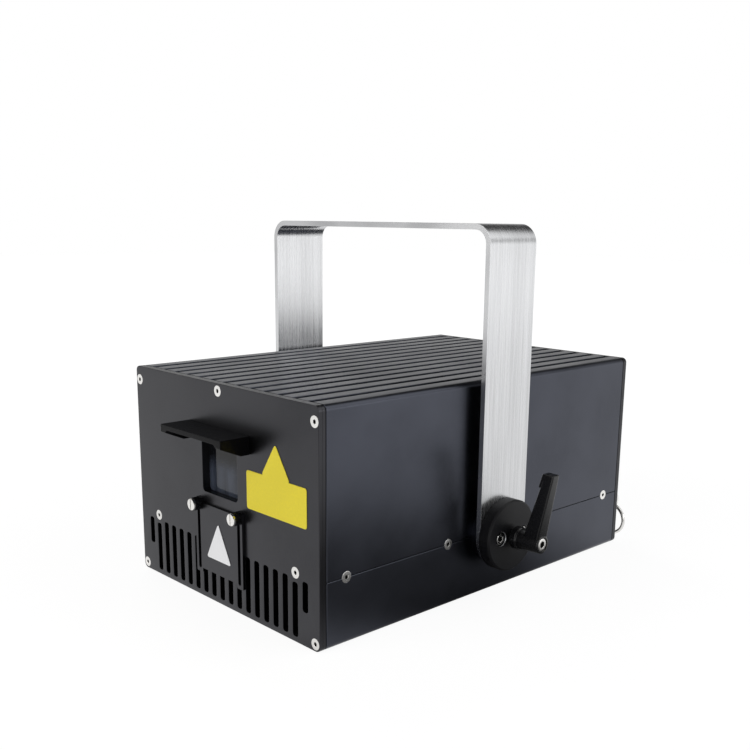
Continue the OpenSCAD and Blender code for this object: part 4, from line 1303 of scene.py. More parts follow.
    def screws(self) -> None:
        """Builds the three sets of countersunk screws."""
        front = [Facing.FRONT.turn((x, self.front.low.y, z)) for x, z in self.end_screws]
        rear = [Facing.REAR.turn((x, self.rear.high.y, z)) for x, z in self.end_screws]
        finishes = [Finish.SCREW, Finish.RECESS]
        for name, screw, places in (
            ("front", self.screw, front), ("rear", self.screw, rear),
            ("side", self.side_screw, self.side_places()),
        ):
            group = screw.at(places)
            self.piece(f"{name}_screw_set", group, finishes, [f"{name}_screws"], "steel")


@dataclass
class LightOutlet(Assembly):
    """Hood, window and yellow plate round the aperture."""

    plate_t: float = 3.7
    cheek: float = 4.0
    cheek_h: float = 12.7
    cheek_front_h: float = 5.7
    level: float = 7.2
    bevel: float = 4.0
    sheet: Profile = ((-32.1, 0), (32.1, 0), (32.1, 27), (-32.1, 27))
    sheet_r: float = 2.0
    peak: Profile = ((-15.35, 26.5), (15.35, 26.5), (0, 50))
    peak_r: float = 1.6
    peak_rise: float = 0.02

    def build(self) -> None:
        """Builds the hood and the plate, and dresses the window."""
        self.hood()
        self.yellow_plate()
        self.dress(Finish.WINDOW, "window_glass")
        self.dress(Finish.PLASTIC, "window_frame")

    def hood(self) -> None:
        """Builds the visor: a top plate with two cheeks."""
        span = Span.of("visor")
        half, top, depth = span.high.x, span.high.z, span.size.y
        inner, under, foot = half - self.cheek, top - self.plate_t, top - self.cheek_h
        right = [(inner, foot), (half, foot), (half, top)]
        left = [(-half, top), (-half, foot), (-inner, foot)]
        inside = [
            (-inner, under - self.bevel), (-inner + self.bevel, under),
            (inner - self.bevel, under), (inner, under - self.bevel),
        ]
        solid = Solid().slab(right + left + inside, [0.0] * 10, depth, 0)
        slope = Vector((0, self.cheek_h - self.cheek_front_h, depth - self.level)).normalized()
        whole = solid.bm.verts[:] + solid.bm.edges[:] + solid.bm.faces[:]
        cut = bmesh.ops.bisect_plane(
            solid.bm, geom=whole, dist=1e-5, clear_outer=True,
            plane_co=(0, foot, self.level), plane_no=(0, -slope.z, slope.y),
        )["geom_cut"]
        bmesh.ops.holes_fill(solid.bm, edges=[g for g in cut if isinstance(g, BMEdge)], sides=0)
        solid.tidy().soften(0.45, 2)
        solid.turned(Facing.FRONT.turn((0, span.high.y, 0)))
        self.piece("aperture_hood", solid, [Finish.HOOD], ["visor"], "black_anodised")

    def yellow_plate(self) -> None:
        """Builds the blank yellow plate with its triangle."""
        span = Span.of("front_label")
        t = span.size.y
        solid = Solid()
        for corners, r, top in (
            (self.sheet, self.sheet_r, t - self.peak_rise), (self.peak, self.peak_r, t)
        ):
            points = [(span.mid.x + x, span.low.z + z) for x, z in corners]
            solid.add(Solid().slab(points, [r] * len(points), top, 0).soften(0.12, 1))
        solid.turned(Facing.FRONT.turn((0, span.high.y, 0)))
        self.piece("yellow_plate", solid, [Finish.YELLOW], ["front_label"], "yellow_foil")


@dataclass
class Shutter(Assembly):
    """Sliding plate with its blank badge and two thumb screws."""

    body: str = "shutter"
    middle: tuple[float, float] = (23.0, 72.8)
    over: float = 3.2
    rail: float = 7.4
    slot_w: float = 3.3
    slot_ends: tuple[float, float] = (22.5, 73.3)
    tip: float = 0.9
    knurls: int = 60
    knurl_depth: float = 0.35
    collar_t: float = 4.8
    face_t: float = 1.9
    face: Profile = (
        (0, 1.9), (3.7, 1.9), (4.15, 1.75), (4.4, 1.35), (4.4, 0.25), (4.0, 0), (0, -0.2)
    )
    thread_r: float = 1.5
    thread_end: float = 12.5
    groove_w: float = 1.1
    groove_floor: float = 1.1

    def build(self) -> None:
        """Builds the plate, the badge and the screws."""
        self.slide()
        self.badge()
        for side in ("left", "right"):
            self.thumb_screw(side)

    def slide(self) -> None:
        """Builds the plate with its rails and guide slots."""
        span = Span.of("shutter_plate")
        half, edge = span.high.x, span.high.x - self.rail
        low, high = self.middle
        right = [
            (edge, low), (edge, low - self.over), (half, low - self.over),
            (half, high + self.over), (edge, high + self.over), (edge, high),
        ]
        radii = [0.6, 1.0, 1.0, 1.0, 1.0, 0.6]
        points = right + [(-x, z) for x, z in reversed(right)]
        centre, w = Span.of("thumb_screw_right").mid.x, self.slot_w
        z0, z1 = self.slot_ends
        slots = [Rim(s * centre, (z0 + z1) / 2, w, z1 - z0, w / 2 - 0.01) for s in (-1, 1)]
        solid = Solid().slab(points, radii + radii[::-1], 0, -span.size.y, slots)
        solid.soften(0.3, 2, 60, lambda e: all(abs(v.co.z) < NEAR for v in e.verts))
        solid.turned(Facing.FRONT.turn((0, span.low.y, 0)))
        self.piece("shutter_slide", solid, [Finish.PANEL], ["shutter_plate"], "black_anodised")

    def badge(self) -> None:
        """Builds the blank silver triangle."""
        span = Span.of("shutter_badge")
        points = [(span.low.x, span.low.z), (span.high.x, span.low.z), (0, span.high.z + self.tip)]
        solid = Solid().slab(points, [1.4] * 3, span.size.y, 0).soften(0.15, 1)
        solid.turned(Facing.FRONT.turn((0, span.high.y, 0)))
        self.piece("silver_triangle", solid, [Finish.BADGE], ["shutter_badge"], "silver_badge")

    def thumb_screw(self, side: str) -> None:
        """Builds a thumb screw: knurled collar, slotted steel face and shank.

        Args:
            side: left or right.
        """
        node = f"thumb_screw_{side}"
        span = Span.of(node)
        r, back, half = span.size.x / 2, -self.collar_t, self.groove_w / 2
        thread, end = self.thread_r, -self.thread_end
        steps = [
            (-0.7, 0), (-0.25, -0.12), (0, -0.5), (0, back + 0.5), (-0.3, back + 0.1), (-0.6, back)
        ]
        collar = Solid().plate([Rim.ring(0, 0, 2 * r, self.knurls)], steps)
        collar.knurl(r, self.knurl_depth, self.knurls)
        face = Solid().lathe(self.face)
        face.boolean(Solid().block((-half, -6, self.groove_floor), (half, 6, 3)))
        profile = [
            (0, back + 0.5), (thread, back + 0.5), (thread, end + 0.3), (thread - 0.3, end),
            (0, end),
        ]
        whole = collar.add(face.paint(1)).add(Solid().lathe(profile, 24).paint(1))
        whole.turned(Facing.FRONT.turn((span.mid.x, span.low.y + self.face_t, span.mid.z)))
        finishes = [Finish.PLASTIC, Finish.SCREW]
        self.piece(f"thumb_knob_{side}", whole, finishes, [node], "steel", node)


@dataclass
class Yoke(Assembly):
    """Bent bar with its discs, bosses and washers."""

    body: str = "yoke"
    bend: float = 14.0
    bar_t: float = 4.0
    holes: tuple[tuple[float, float], ...] = ((0, 12.5), (-45, 8.5), (45, 8.5))
    screw_off: float = 12.8
    bore_chamfer: float = 0.4
    counterbore: float = 10.3
    stud_bore: float = 8.6
    head_d: float = 8.5
    socket: float = 4.7
    socket_depth: float = 2.6

    def build(self) -> None:
        """Builds the bar and dresses what carries it."""
        self.bar()
        self.screws()
        for side, facing in (("left", Facing.LEFT), ("right", Facing.RIGHT)):
            self.disc(side, facing)
        self.dress(Finish.CASING, "pivot_boss_left", "pivot_boss_right")
        self.dress(Finish.FIBRE, "friction_washers")

    def bar(self) -> None:
        """Builds the bent bar with round ends and holes."""
        span = Span.of("yoke")
        half, top, t = span.high.x, span.high.z, self.bar_t
        low = span.low.z - 2
        points = [
            (-half, low), (-half, top), (half, top), (half, low),
            (half - t, low), (half - t, top - t), (-half + t, top - t), (-half + t, low),
        ]
        radii = [0, self.bend, self.bend, 0, 0, self.bend - t, self.bend - t, 0]
        solid = Solid().slab(points, radii, 0, -span.size.y, segments=14)
        solid.turned(Facing.FRONT.turn((0, span.low.y, 0)))
        w, mid = span.size.y / 2, span.mid.y
        low, high, r = span.low.z, top + 5, w - 0.02
        limbs = [(mid - w, low), (mid + w, low), (mid + w, high), (mid - w, high)]
        sides = Solid().slab(limbs, [r, r, 0, 0], half + 5, -half - 5, segments=24)
        solid.boolean(sides.turned(Facing.RIGHT.turn()), "INTERSECT")
        drills = Solid()
        for x, d in self.holes:
            drill = Solid().lathe([(0, 10), (d / 2, 10), (d / 2, -10), (0, -10)])
            drills.add(drill.moved(x, mid, top))
        solid.boolean(drills).soften(0.5, 2, 40)
        self.piece("yoke_bar", solid, [Finish.YOKE], ["yoke"], "brushed_stainless")

    def disc(self, side: str, facing: Facing) -> None:
        """Builds a pivot disc with its counterbores.

        Args:
            side: left or right.
            facing: The side that it faces.
        """
        node = f"pivot_disc_{side}"
        span = Span.of(node)
        t = span.size.x
        face_x = span.high.x if side == "right" else span.low.x
        rims = [
            Rim.ring(0, 0, span.size.y, 96), Rim.ring(-self.screw_off, 0, self.counterbore, 40),
            Rim.ring(self.screw_off, 0, self.counterbore, 40), Rim.ring(0, 0, self.stud_bore, 40),
        ]
        solid = Solid().plate(
            rims, [(-1.5, 0), (-1.2, -0.08), (-0.08, -1.2), (0, -1.5), (0, -t + 0.3), (-0.3, -t)],
            hole_steps=[(self.bore_chamfer, 0), (0, -self.bore_chamfer), (0, -t)],
        )
        # Bare aluminium on the counterbore chamfers: a painted highlight round each screw.
        solid.paint(1, self.on_bore_highlight)
        solid.turned(facing.turn((face_x, span.mid.y, span.mid.z)))
        self.piece(f"disc_{side}", solid, [Finish.DISC, Finish.BARE], [node], "black_anodised")

    def on_bore_highlight(self, face: BMFace) -> bool:
        """Finds the chamfers of a disc's counterbores, painted bare aluminium as a painted
        highlight.

        Args:
            face: A face of the disc.

        Returns:
            Whether it belongs to one of them.
        """
        middle = face.calc_center_median()
        near = min((middle.xy - Vector((x, 0))).length for x in (-self.screw_off, self.screw_off))
        return near < 6 and -self.bore_chamfer < middle.z < -0.05 and abs(face.normal.z) < 0.95

    def screws(self) -> None:
        """Builds the socket head screws of both discs."""
        group = Solid()
        span = Span.of("disc_screws")
        depth = self.socket_depth
        for facing, x in ((Facing.RIGHT, span.high.x), (Facing.LEFT, span.low.x)):
            for off in (-self.screw_off, self.screw_off):
                head = Solid().plate(
                    [Rim.ring(0, 0, self.head_d, 48), Rim.ring(0, 0, self.socket, 6)],
                    [(-0.7, 0), (-0.2, -0.2), (0, -0.7), (0, -4.6), (-1.75, -4.6), (-1.75, -13)],
                    hole_steps=[(0.55, 0), (0, -0.4), (0, -depth)], blind=(1,),
                ).shade_socket(1, self.socket / 2, depth)
                # The flat top face of each steel head is given black oxide: a painted dark
                # reflection, while its chamfers stay bright steel.
                head.paint(2, lambda f: f.normal.z > 0.9 and f.calc_center_median().z > -0.1)
                group.add(head.turned(facing.turn((x, span.mid.y + off, span.mid.z))))
        finishes = [Finish.SCREW, Finish.RECESS, Finish.OXIDE]
        self.piece("disc_screw_set", group, finishes, ["disc_screws"], "steel")


@dataclass
class ClampLever(Assembly):
    """One clamping stud with the handle that turns it."""

    side: str = "right"
    reach: float = 53.0
    lean: float = 9.0
    lip: float = 1.8
    lip_length: float = 10.5
    hub: Profile = (
        (5.05, 0), (8.1, 0), (8.5, 0.4), (8.5, 4.3), (8.3, 4.9), (7.75, 5.4), (7.6, 5.8),
        (6.75, 23.2), (6.45, 23.9), (5.9, 24.2), (5.1, 24.2), (4.75, 23.9), (4.75, 16.2),
        (2.55, 16.2), (2.55, 13.2), (5.05, 13.2), (5.05, 0),
    )
    hub_top: float = 24.2
    arm_from: float = 3.2
    arm_root: tuple[float, float] = (10.2, 23.2)
    arm_half: float = 5.8
    tip_half: float = 3.7
    lip_half: float = 3.9
    tip_h: float = 8.0
    foot_in: float = 3.4
    cap_d: float = 9.4
    cap_h: float = 2.6
    cap_socket: float = 5.2
    cap_depth: float = 2.3

    @property
    def facing(self) -> Facing:
        """The side that the lever faces."""
        return Facing.RIGHT if self.side == "right" else Facing.LEFT

    def __post_init__(self) -> None:
        """Measures where the lever sits."""
        self.sign = 1 if self.side == "right" else -1
        handle = Span.of(f"clamp_handle_{self.side}")
        self.hub_x = min(abs(handle.low.x), abs(handle.high.x))
        self.centre = Span.of(f"pivot_disc_{self.side}").mid

    def build(self) -> None:
        """Builds the stud and the handle."""
        self.stud()
        self.handle()

    def place(self, x: float) -> Matrix:
        """Placing matrix at a distance from the casing's middle."""
        return self.facing.turn((self.sign * x, self.centre.y, self.centre.z))

    def stud(self) -> None:
        """Builds the stud, its core and the retaining screw."""
        span = Span.of(f"clamp_stud_{self.side}")
        inner = min(abs(span.low.x), abs(span.high.x))
        outer = max(abs(span.low.x), abs(span.high.x))
        foot = self.hub_x - self.foot_in
        start, top = inner - foot, outer - foot
        under = top - self.cap_h
        solid = Solid().lathe([
            (0, start), (3.6, start), (4, start + 0.4), (4, 0), (4.8, 0), (5, 0.2), (5, 16.2),
            (4.8, 16.4), (2.5, 16.4), (2.5, under), (0, under),
        ])
        cap = Solid().plate(
            [Rim.ring(0, 0, self.cap_d, 48), Rim.ring(0, 0, self.cap_socket, 6)],
            [(-0.8, 0), (-0.25, -0.2), (0, -0.7), (0, -self.cap_h + 0.2), (-0.2, -self.cap_h)],
            hole_steps=[(0.15, 0), (0, -0.15), (0, -self.cap_depth)], blind=(1,),
        )
        cap.paint(1).shade_socket(2, self.cap_socket / 2, self.cap_depth).moved(0, 0, top)
        solid.add(cap).turned(self.place(foot))
        node = f"clamp_stud_{self.side}"
        finishes = [Finish.OXIDE, Finish.SCREW, Finish.RECESS]
        self.piece(f"lever_core_{self.side}", solid, finishes, [node], "black_oxide", node)

    def handle(self) -> None:
        """Builds the moulded hub with its tapered arm."""
        solid = Solid().lathe(self.hub, 64)
        tip, start, root = self.hub_top + self.lean, self.arm_from, self.arm_root
        low, wide, narrow, mid = tip - self.tip_h, self.arm_half, self.tip_half, self.lip_half
        ends = (-wide, wide, *root), (-narrow, narrow, low, tip)
        arm = Solid().taper(*ends, start, self.reach, 1.2)
        share = self.lip_length / (self.reach - start)
        under = low - self.lip - share * (low - root[0])
        ends = (-mid, mid, under, under + 5), (-narrow, narrow, low - self.lip, low + 3)
        lip = Solid().taper(*ends, self.reach - self.lip_length, self.reach, 0.9)
        node = f"clamp_handle_{self.side}"
        solid.add(arm).add(lip).turned(self.place(self.hub_x))
        finishes = [Finish.PLASTIC]
        self.piece(f"lever_{self.side}", solid, finishes, [node], "black_plastic", node, 40)


@dataclass
class SafetyLoop(Assembly):
    """Eye bolt on the rear panel and the ring that hangs in it."""

    eye_r: float = 7.0
    eye_wire: float = 4.0
    neck_in: float = 6.0

    def build(self) -> None:
        """Builds the eye and the ring."""
        eye, ring = Span.of("safety_eye"), Span.of("safety_ring")
        rear = Span.of("rear_panel").high.y
        x, y, z = ring.mid.x, ring.mid.y, eye.high.z - self.eye_r - self.eye_wire / 2
        end = y - rear - self.neck_in
        loop = Solid().torus(self.eye_r, self.eye_wire)
        loop.turned(Matrix.Rotation(math.pi / 2, 4, "Y")).moved(x, y, z)
        foot = Solid().lathe([
            (0, -11), (3, -11), (3, 0), (5.5, 0), (6, 0.5), (6, 2.4), (5.4, 3), (3.2, 3.2),
            (2.6, 4.2), (2.6, end), (0, end),
        ]).turned(Facing.REAR.turn((x, rear, z)))
        self.piece("eye_bolt", loop.add(foot), [Finish.SCREW], ["safety_eye"], "steel")
        wire = ring.size.y
        hoop = Solid().torus((ring.size.x - wire) / 2, wire, 96)
        hoop.turned(Matrix.Translation(ring.mid) @ Matrix.Rotation(math.pi / 2, 4, "X"))
        self.piece("safety_hoop", hoop, [Finish.SCREW], ["safety_ring"], "steel", "safety_ring")


@dataclass
class RearConnections(Assembly):
    """Sockets, key switch, display and knob on the rear panel."""

    flange_t: float = 2.0
    flange_r: float = 2.0
    barrel_d: float = 23.6
    barrel_len: float = 18.0
    mouth_d: float = 19.0
    mouth_depth: float = 14.0
    pin_d: float = 2.0
    pin_recess: float = 6.0
    network_mouth: Rim = Rim(0, 0, 12, 8, 0.5)
    wires: int = 8
    wire_pitch: float = 1.02
    contact_pitch: float = 2.76
    contact_d: float = 1.2
    row: float = 1.42
    insert_in: tuple[float, float] = (16.4, 6.4)
    insert_t: float = 4.2
    insert_out: float = 5.2
    bolt_in: float = 3.6
    bolt_out: float = 5.1
    bezel_w: float = 3.5
    display_in: float = 4.6
    knob_sides: int = 56
    screw_in: float = 3.5
    screw: FlatScrew = FlatScrew(5.0, 2.8, 1.9, 1.0, 6.0)

    def __post_init__(self) -> None:
        """Measures where the rear panel's outer face lies."""
        self.rear_y = Span.of("rear_panel").high.y

    def build(self) -> None:
        """Builds the sockets and controls."""
        for node, finish, pins, pin_r in (
            ("power_inlet", Finish.BLUE, 3, 5.0), ("data_sockets", Finish.NICKEL, 5, 5.5),
            ("interlock_socket", Finish.PLASTIC, 3, 5.5),
        ):
            self.round_sockets(node, finish, pins, pin_r)
        self.network_socket()
        self.signal_insert()
        self.key_switch()
        self.display()
        self.knob()
        self.dress(Finish.NICKEL, "scan_signal_socket")
        self.dress(Finish.SCREW, "key", "encoder_shaft")

    def place(self, x: float, z: float, out: float = 0) -> Matrix:
        """Placing matrix on the rear panel's outer face."""
        return Facing.REAR.turn((x, self.rear_y + out, z))

    def flange(self, w: float, h: float, mouth: Rim) -> Solid:
        """Draws a socket's flange with its two screws.

        Args:
            w: Width of the flange.
            h: Height of the flange.
            mouth: Outline of the opening.

        Returns:
            The solid, with its outer face at the flange's thickness.
        """
        corner = (w / 2 - self.screw_in, h / 2 - self.screw_in)
        places = [(s * corner[0], -s * corner[1]) for s in (-1, 1)]
        rims = [Rim(0, 0, w, h, self.flange_r), mouth]
        rims += [Rim.ring(x, y, self.screw.head, 32) for x, y in places]
        sink = [(0.15, 0), (0.05, -0.1), (-1.0, -1.2), (-1.0, -self.flange_t)]
        solid = Solid().plate(
            rims, [(-0.5, 0), (-0.12, -0.12), (0, -0.5), (0, -self.flange_t)],
            hole_steps=[(0.5, 0), (0.12, -0.15), (0, -0.6), (0, -self.flange_t)],
            special={2: sink, 3: sink},
        )
        heads = self.screw.at([Matrix.Translation((x, y, 0)) for x, y in places])
        for face in heads.bm.faces:
            face.material_index += 2
        return solid.add(heads).moved(0, 0, self.flange_t)

    def barrel(self, mouth: Rim) -> Solid:
        """Draws the round body behind a flange, with its blind mouth.

        Args:
            mouth: Outline of the opening.

        Returns:
            The solid.
        """
        floor = self.flange_t - self.mouth_depth
        body = Solid().plate(
            [Rim.ring(0, 0, self.barrel_d, 64), mouth],
            [(-0.2, 1.2), (0, 1.0), (0, -self.barrel_len), (-0.6, -self.barrel_len - 0.6)],
            hole_steps=[(-0.06, 1.2), (-0.06, floor)], blind=(1,),
        )

        def at_bottom(face: BMFace) -> bool:
            """Whether a face is the mouth's floor or the body's back."""
            middle = face.calc_center_median()
            return middle.z < floor + 0.01 and middle.xy.length < self.barrel_d / 2 - 2

        return body.paint(1, at_bottom)

    def round_sockets(self, node: str, finish: Finish, pins: int, pin_r: float) -> None:
        """Builds the round sockets of one node.

        Args:
            node: The node that they stand for.
            finish: The flange's finish.
            pins: Number of contact pins.
            pin_r: Radius of the circle that they stand on.
        """
        span = Span.of(node)
        h, w = span.size.z, self.barrel_d + 2.4
        xs = [span.mid.x] if span.size.x < 1.5 * w else [span.low.x + w / 2, span.high.x - w / 2]
        mouth = Rim.ring(0, 0, self.mouth_d, 64)
        floor, top = self.flange_t - self.mouth_depth, self.flange_t - self.pin_recess
        whole = Solid()
        for x in xs:
            one = self.flange(w, h, mouth).add(self.barrel(mouth))
            wide = pin_r + 2.3
            insert = Solid().lathe(
                [(0, floor + 2), (pin_r + 1.9, floor + 2), (wide, floor + 1.6), (wide, floor - 0.2)]
            )
            one.add(insert.paint(1))
            for i in range(pins):
                turn = math.tau * (i + 0.5) / pins
                r = self.pin_d / 2
                pin = Solid().lathe(
                    [(0, top), (0.5 * r, top - 0.1), (r, top - 0.7), (r, floor), (0, floor)], 16
                ).moved(-pin_r * math.cos(turn), pin_r * math.sin(turn), 0)
                one.add(pin.paint(4))
            y = -self.mouth_d / 2
            key = Solid().block((-1, y - 0.3, floor), (1, y + 1.2, self.flange_t - 1.5))
            one.add(key.soften(0.25, 2))
            whole.add(one.turned(self.place(x, span.mid.z)))
        self.socket_piece(node, whole, finish)

    def socket_piece(self, node: str, solid: Solid, finish: Finish) -> None:
        """Turns the sockets of one node into a piece.

        Args:
            node: The node that they stand for.
            solid: Their mesh.
            finish: The flange's finish.
        """
        finishes = [finish, Finish.PLASTIC, Finish.SCREW, Finish.RECESS, Finish.CONTACT]
        slots = {Finish.BLUE: "blue_plastic", Finish.PLASTIC: "black_plastic"}
        self.piece(f"{node}_detail", solid, finishes, [node], slots.get(finish, "nickel"))

    def network_socket(self) -> None:
        """Builds the network socket with its eight contacts."""
        span = Span.of("network_socket")
        mouth = self.network_mouth
        solid = self.flange(span.size.x, span.size.z, mouth).add(self.barrel(mouth))
        floor = self.flange_t - self.mouth_depth
        for i in range(self.wires):
            x = (i - (self.wires - 1) / 2) * self.wire_pitch
            solid.add(Solid().block((x - 0.2, 2.0, floor), (x + 0.2, 2.5, -1.0)).paint(4))
        notch = Solid().block((-3, -4.1, floor), (3, -3.2, 0)).soften(0.2, 1)
        solid.add(notch.paint(1)).turned(self.place(span.mid.x, span.mid.z))
        self.socket_piece("network_socket", solid, Finish.NICKEL)

    def signal_insert(self) -> None:
        """Builds the black insert with two rows of holes, and the two side bolts."""
        span = Span.of("scan_signal_socket")
        holes = [
            Rim.ring((i - (n - 1) / 2) * self.contact_pitch, y, self.contact_d, 12)
            for n, y in ((13, self.row), (12, -self.row)) for i in range(n)
        ]
        w, h = span.size.x - self.insert_in[0], span.size.z - self.insert_in[1]
        solid = Solid().plate(
            [Rim(0, 0, w, h, 1.6), *holes], [(-0.3, 0), (0, -0.3), (0, -self.insert_t)],
            hole_steps=[(0.15, 0), (0, -0.15), (0, -2.5)], blind=range(1, len(holes) + 1),
        ).moved(0, 0, self.insert_out)
        for side in (-1, 1):
            bolt = Solid().plate(
                [Rim.ring(0, 0, 5.4, 6), Rim.ring(0, 0, 2.4, 20)],
                [(-0.4, 0), (0, -0.4), (0, -self.insert_t)],
                hole_steps=[(0.2, 0), (0, -0.2), (0, -3)], blind=(1,),
            )
            x = side * (span.size.x / 2 - self.bolt_in)
            solid.add(bolt.paint(1).moved(x, 0, self.bolt_out))
        solid.turned(self.place(span.mid.x, span.mid.z))
        finishes = [Finish.PLASTIC, Finish.SCREW]
        self.piece("scan_signal_insert", solid, finishes, slot="black_plastic")

    def key_switch(self) -> None:
        """Builds the key switch with its chamfered bezel."""
        span = Span.of("key_switch")
        r, rim = span.size.x / 2, span.high.y - self.rear_y
        inner = Span.of("key").size.x / 2 + 0.2
        tail = span.low.y - self.rear_y
        profile = [
            (inner, tail + 1), (inner, rim - 0.9), (inner + 0.5, rim - 0.5), (r - 3, rim - 0.5),
            (r - 2.4, rim), (r - 0.9, rim), (r - 0.25, rim - 0.25), (r, rim - 0.9), (r, 0),
            (r - 1.5, 0), (r - 1.5, tail + 0.5), (r - 2, tail), (inner, tail), (inner, tail + 1),
        ]
        solid = Solid().lathe(profile, 72).turned(self.place(span.mid.x, span.mid.z))
        self.piece("key_switch_bezel", solid, [Finish.NICKEL], ["key_switch"], "nickel")

    def display(self) -> None:
        """Builds the display's frame and its dark glass."""
        span = Span.of("display_window")
        w, h, out = span.size.x, span.size.z, span.high.y - self.rear_y
        glass = Rim(0, 0, w - 2 * self.bezel_w, h - 2 * self.bezel_w, 0.8)
        solid = Solid().plate(
            [Rim(0, 0, w, h, 1.5), glass], [(-0.4, 0), (-0.1, -0.1), (0, -0.4), (0, -out)],
            hole_steps=[(0.3, 0), (0, -0.35)], blind=(1,),
        ).paint(1, lambda f: f.calc_center_median().z < -0.3 and f.normal.z > 0.9)
        x, y = (w - self.display_in) / 2, (h - self.display_in) / 2
        solid.add(Solid().block((-x, -y, -out - 4), (x, y, -out + 0.1)))
        solid.turned(self.place(span.mid.x, span.mid.z, out))
        finishes = [Finish.PLASTIC, Finish.DISPLAY]
        self.piece("display_unit", solid, finishes, ["display_window"], "black_plastic")

    def knob(self) -> None:
        """Builds the knurled menu knob with its finger mark."""
        node = "menu_knob"
        span = Span.of(node)
        r, back, sides = span.size.x / 2, -span.size.y, self.knob_sides
        steps = [(-1.5, 0), (-0.9, -0.15), (-0.3, -0.6), (0, -1.2), (0, back + 1.6)]
        steps += [(-0.6, back + 1.2), (-0.6, back)]
        solid = Solid().plate(
            [Rim.ring(0, 0, 2 * r, sides), Rim.ring(0, r * 0.55, 3.0, 20)], steps,
            hole_steps=[(0.3, 0), (0, -0.15), (-0.5, -0.55)], blind=(1,),
        ).knurl(r, 0.4, sides)
        solid.turned(Facing.REAR.turn((span.mid.x, span.high.y, span.mid.z)))
        self.piece(f"{node}_detail", solid, [Finish.PLASTIC], [node], "black_plastic", node)


@dataclass
class Interior(Assembly):
    """Bench with the light path, and the blowers and supply under it."""

    def build(self) -> None:
        """Dresses what lies inside the casing."""
        self.dress(Finish.BARE, "optical_bench", "heat_sink", "mirror_mounts")
        self.dress(Finish.BARE, "galvo_block", "power_supply")
        self.dress(Finish.PLASTIC, "blower_left", "blower_right", "rotor_left", "rotor_right")
        self.dress(Finish.PLASTIC, "galvo_motor_x", "galvo_motor_y", "beam_stop_motor")
        self.dress(Finish.MIRROR, "combiner_mirrors", "galvo_mirror_x", "galvo_mirror_y")
        self.dress(Finish.LASER_RED, "laser_red")
        self.dress(Finish.LASER_GREEN, "laser_green")
        self.dress(Finish.LASER_BLUE, "laser_blue")
        self.dress(Finish.SCREW, "beam_stop")
        self.dress(Finish.BOARD, "scanner_driver", "control_board")


@dataclass(frozen=True)
class Lamp:
    """A soft rectangular studio lamp."""

    name: str
    at: tuple[float, float, float]
    aim: tuple[float, float, float]
    size: tuple[float, float]
    power: float
    colour: Colour = (1.0, 1.0, 1.0)

    def build(self) -> None:
        """Places the lamp."""
        light = bpy.data.lights.new(self.name, "AREA")
        light.shape = "RECTANGLE"
        light.size, light.size_y = self.size
        light.energy = self.power
        light.color = self.colour
        thing = show(self.name, light)
        thing.location = self.at
        look = Vector(self.aim) - Vector(self.at)
        thing.rotation_euler = look.to_track_quat("-Z", "Y").to_euler()


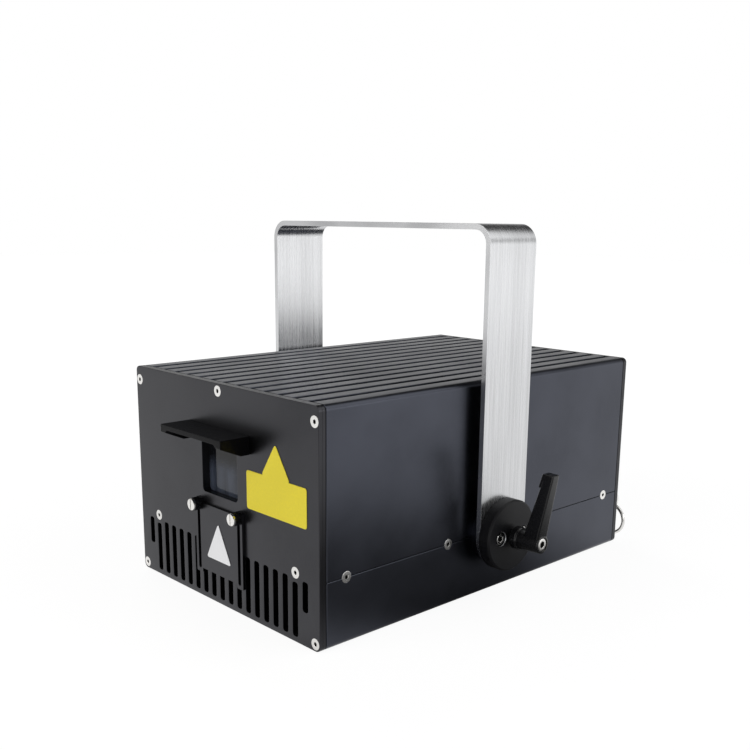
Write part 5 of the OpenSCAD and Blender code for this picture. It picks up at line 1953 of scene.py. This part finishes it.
@dataclass(frozen=True)
class Studio:
    """Camera, lamps, pale floor and background."""

    place: tuple[float, float, float] = (0.5516, -0.5354, 0.2724)
    yaw: float = 0.803688
    pitch: float = 0.222388
    roll: float = 0.0129842
    lens: float = 46.285
    sensor: float = 36.0
    near: float = 0.01
    shift: tuple[float, float] = (-0.01875, 0.0844)
    soft: float = 0.17
    soft_colour: Colour = (0.95, 0.97, 1.0)
    tent_top: tuple[float, float] = (0.18, 0.5)
    tent: float = 0.70
    ceiling: float = 0.05
    overhead_from: tuple[float, float] = (0.88, 0.985)
    overhead: float = 0.30
    shadow_side: tuple[float, float, float] = (200, -20, 0)
    reflected_floor_shadow: tuple[float, float, float, float] = (80, 215, 0.02, 1.2)
    reflected_floor_shadow_share: float = 0.8
    floor_look: tuple[float, float, float, float] = (350, 1500, 1.08, 1.2)
    floor_look_share: float = 0.85
    floor_grey: float = 0.86
    floor_half: float = 6.0
    lamps: tuple[Lamp, ...] = (
        Lamp("left_top", (-1.1, 0.3, 1.5), (0.2, 0, 0), (0.6, 0.6), 5.5),
        Lamp("front_left", (-0.5, -1.9, 1.1), (0, 0, 0.1), (1.5, 1.5), 17.5, (1.0, 0.97, 0.94)),
        Lamp("front_high", (0.1, -1.5, 1.6), (0, -0.1, 0.05), (1.2, 1.2), 5),
        Lamp("side_low", (1.1, 1.2, 0.25), (0.166, 0.0, 0.12), (0.9, 0.4), 0.6),
        Lamp("side_right", (1.9, 0.5, 0.5), (0.1, 0, 0.1), (1.2, 0.7), 8),
        Lamp("far_top", (1.6, 1.2, 1.6), (1.0, 0.9, 0), (2.0, 2.0), 10),
        Lamp("right_top", (0.9, 0.7, 1.2), (0.6, 0.4, 0), (1.4, 1.4), 4),
    )

    def build(self) -> None:
        """Sets up everything that is not part of the projector."""
        bpy.context.scene.view_settings.view_transform = "Standard"
        self.camera()
        self.background()
        self.floor()
        for lamp in self.lamps:
            lamp.build()

    def camera(self) -> None:
        """Places the camera at the photograph's viewpoint."""
        cos_y, sin_y = math.cos(self.yaw), math.sin(self.yaw)
        cos_p, sin_p = math.cos(self.pitch), math.sin(self.pitch)
        forward = Vector((-sin_y * cos_p, cos_y * cos_p, -sin_p))
        level = Vector((cos_y, sin_y, 0))
        raised = level.cross(forward)
        cos_r, sin_r = math.cos(self.roll), math.sin(self.roll)
        right = cos_r * level + sin_r * raised
        up = cos_r * raised - sin_r * level
        turn = Matrix((right, up, -forward)).transposed().to_4x4()
        data = bpy.data.cameras.new("camera")
        data.sensor_fit = "HORIZONTAL"
        data.sensor_width = self.sensor
        data.lens = self.lens
        data.shift_x, data.shift_y = self.shift
        data.clip_start = self.near
        thing = show("camera", data)
        thing.matrix_world = Matrix.Translation(self.place) @ turn
        bpy.context.scene.camera = thing

    def background(self) -> None:
        """Gives the world a soft light, a white look and a white tent in reflections."""
        world = bpy.data.worlds.new("studio")
        bpy.context.scene.world = world
        world.use_nodes = True
        nodes = Nodes(world.node_tree)
        way = nodes.node("ShaderNodeTexCoord", out="Generated")
        level = nodes.node("ShaderNodeSeparateXYZ", None, {"Vector": way}, out="Z")
        low, high = self.overhead_from
        span = {"Value": level, "From Min": low, "From Max": high, "To Max": self.overhead}
        above = nodes.node("ShaderNodeMapRange", None, span)
        glow = level.ramp(*self.tent_top, self.tent, self.ceiling) + above
        soft = nodes.tree.nodes["Background"]
        nodes.give(soft.inputs["Color"], (*self.soft_colour, 1))
        nodes.give(soft.inputs["Strength"], self.soft)
        tent = nodes.node("ShaderNodeBackground", None, {"Color": WHITE, "Strength": glow})
        white = nodes.node("ShaderNodeBackground", None, {"Color": WHITE, "Strength": 1})
        last = Socket(nodes, soft.outputs[0])
        for ray, look in (("Glossy", tent), ("Transmission", white), ("Camera", white)):
            last = nodes.seen(ray, (last, look))
        nodes.end(last, "World Output")

    def floor(self) -> None:
        """Lays the pale floor, which keeps a soft shadow; in reflections it glows with a painted
        shadow, dark near shadow_side and bright further off.
        """
        bm = bmesh.new()
        bmesh.ops.create_grid(bm, x_segments=1, y_segments=1, size=self.floor_half)
        mesh = bpy.data.meshes.new("floor")
        bm.to_mesh(mesh)
        bm.free()
        paint = Paint("pale_floor")
        paint.set(Base_Color=(*(self.floor_grey,) * 3, 1), Roughness=0.9)
        last = Socket(paint, paint.shader.outputs[0])
        # Glossy rays see an emission that is dark near shadow_side and bright further off: a
        # painted shadow of the projector on the floor, seen in reflections.
        for ray, centre, span, share in (
            ("Glossy", self.shadow_side, self.reflected_floor_shadow, self.reflected_floor_shadow_share),
            ("Camera", (0, 0, 0), self.floor_look, self.floor_look_share),
        ):
            ends = {0: paint.place(), 1: centre}
            away = paint.node("ShaderNodeVectorMath", {"operation": "DISTANCE"}, ends, "Value")
            values = {"Color": WHITE, "Strength": away.ramp(*span)}
            glow = paint.node("ShaderNodeEmission", None, values)
            last = paint.seen(ray, (last, glow), share)
        paint.end(last, "Material Output")
        mesh.materials.append(paint.material)
        show("floor", mesh)


def main() -> None:
    """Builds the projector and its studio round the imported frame."""
    logging.basicConfig(level=logging.INFO, format="%(message)s")
    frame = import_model()
    groups: list[Assembly] = [
        Casing(frame), LightOutlet(frame), Shutter(frame), Yoke(frame),
        ClampLever(frame, side="left"), ClampLever(frame, side="right"),
        SafetyLoop(frame), RearConnections(frame), Interior(frame),
    ]
    for group in groups:
        group.build()
    Studio().build()
    bpy.context.view_layer.update()


if __name__ == "__main__":
    main()
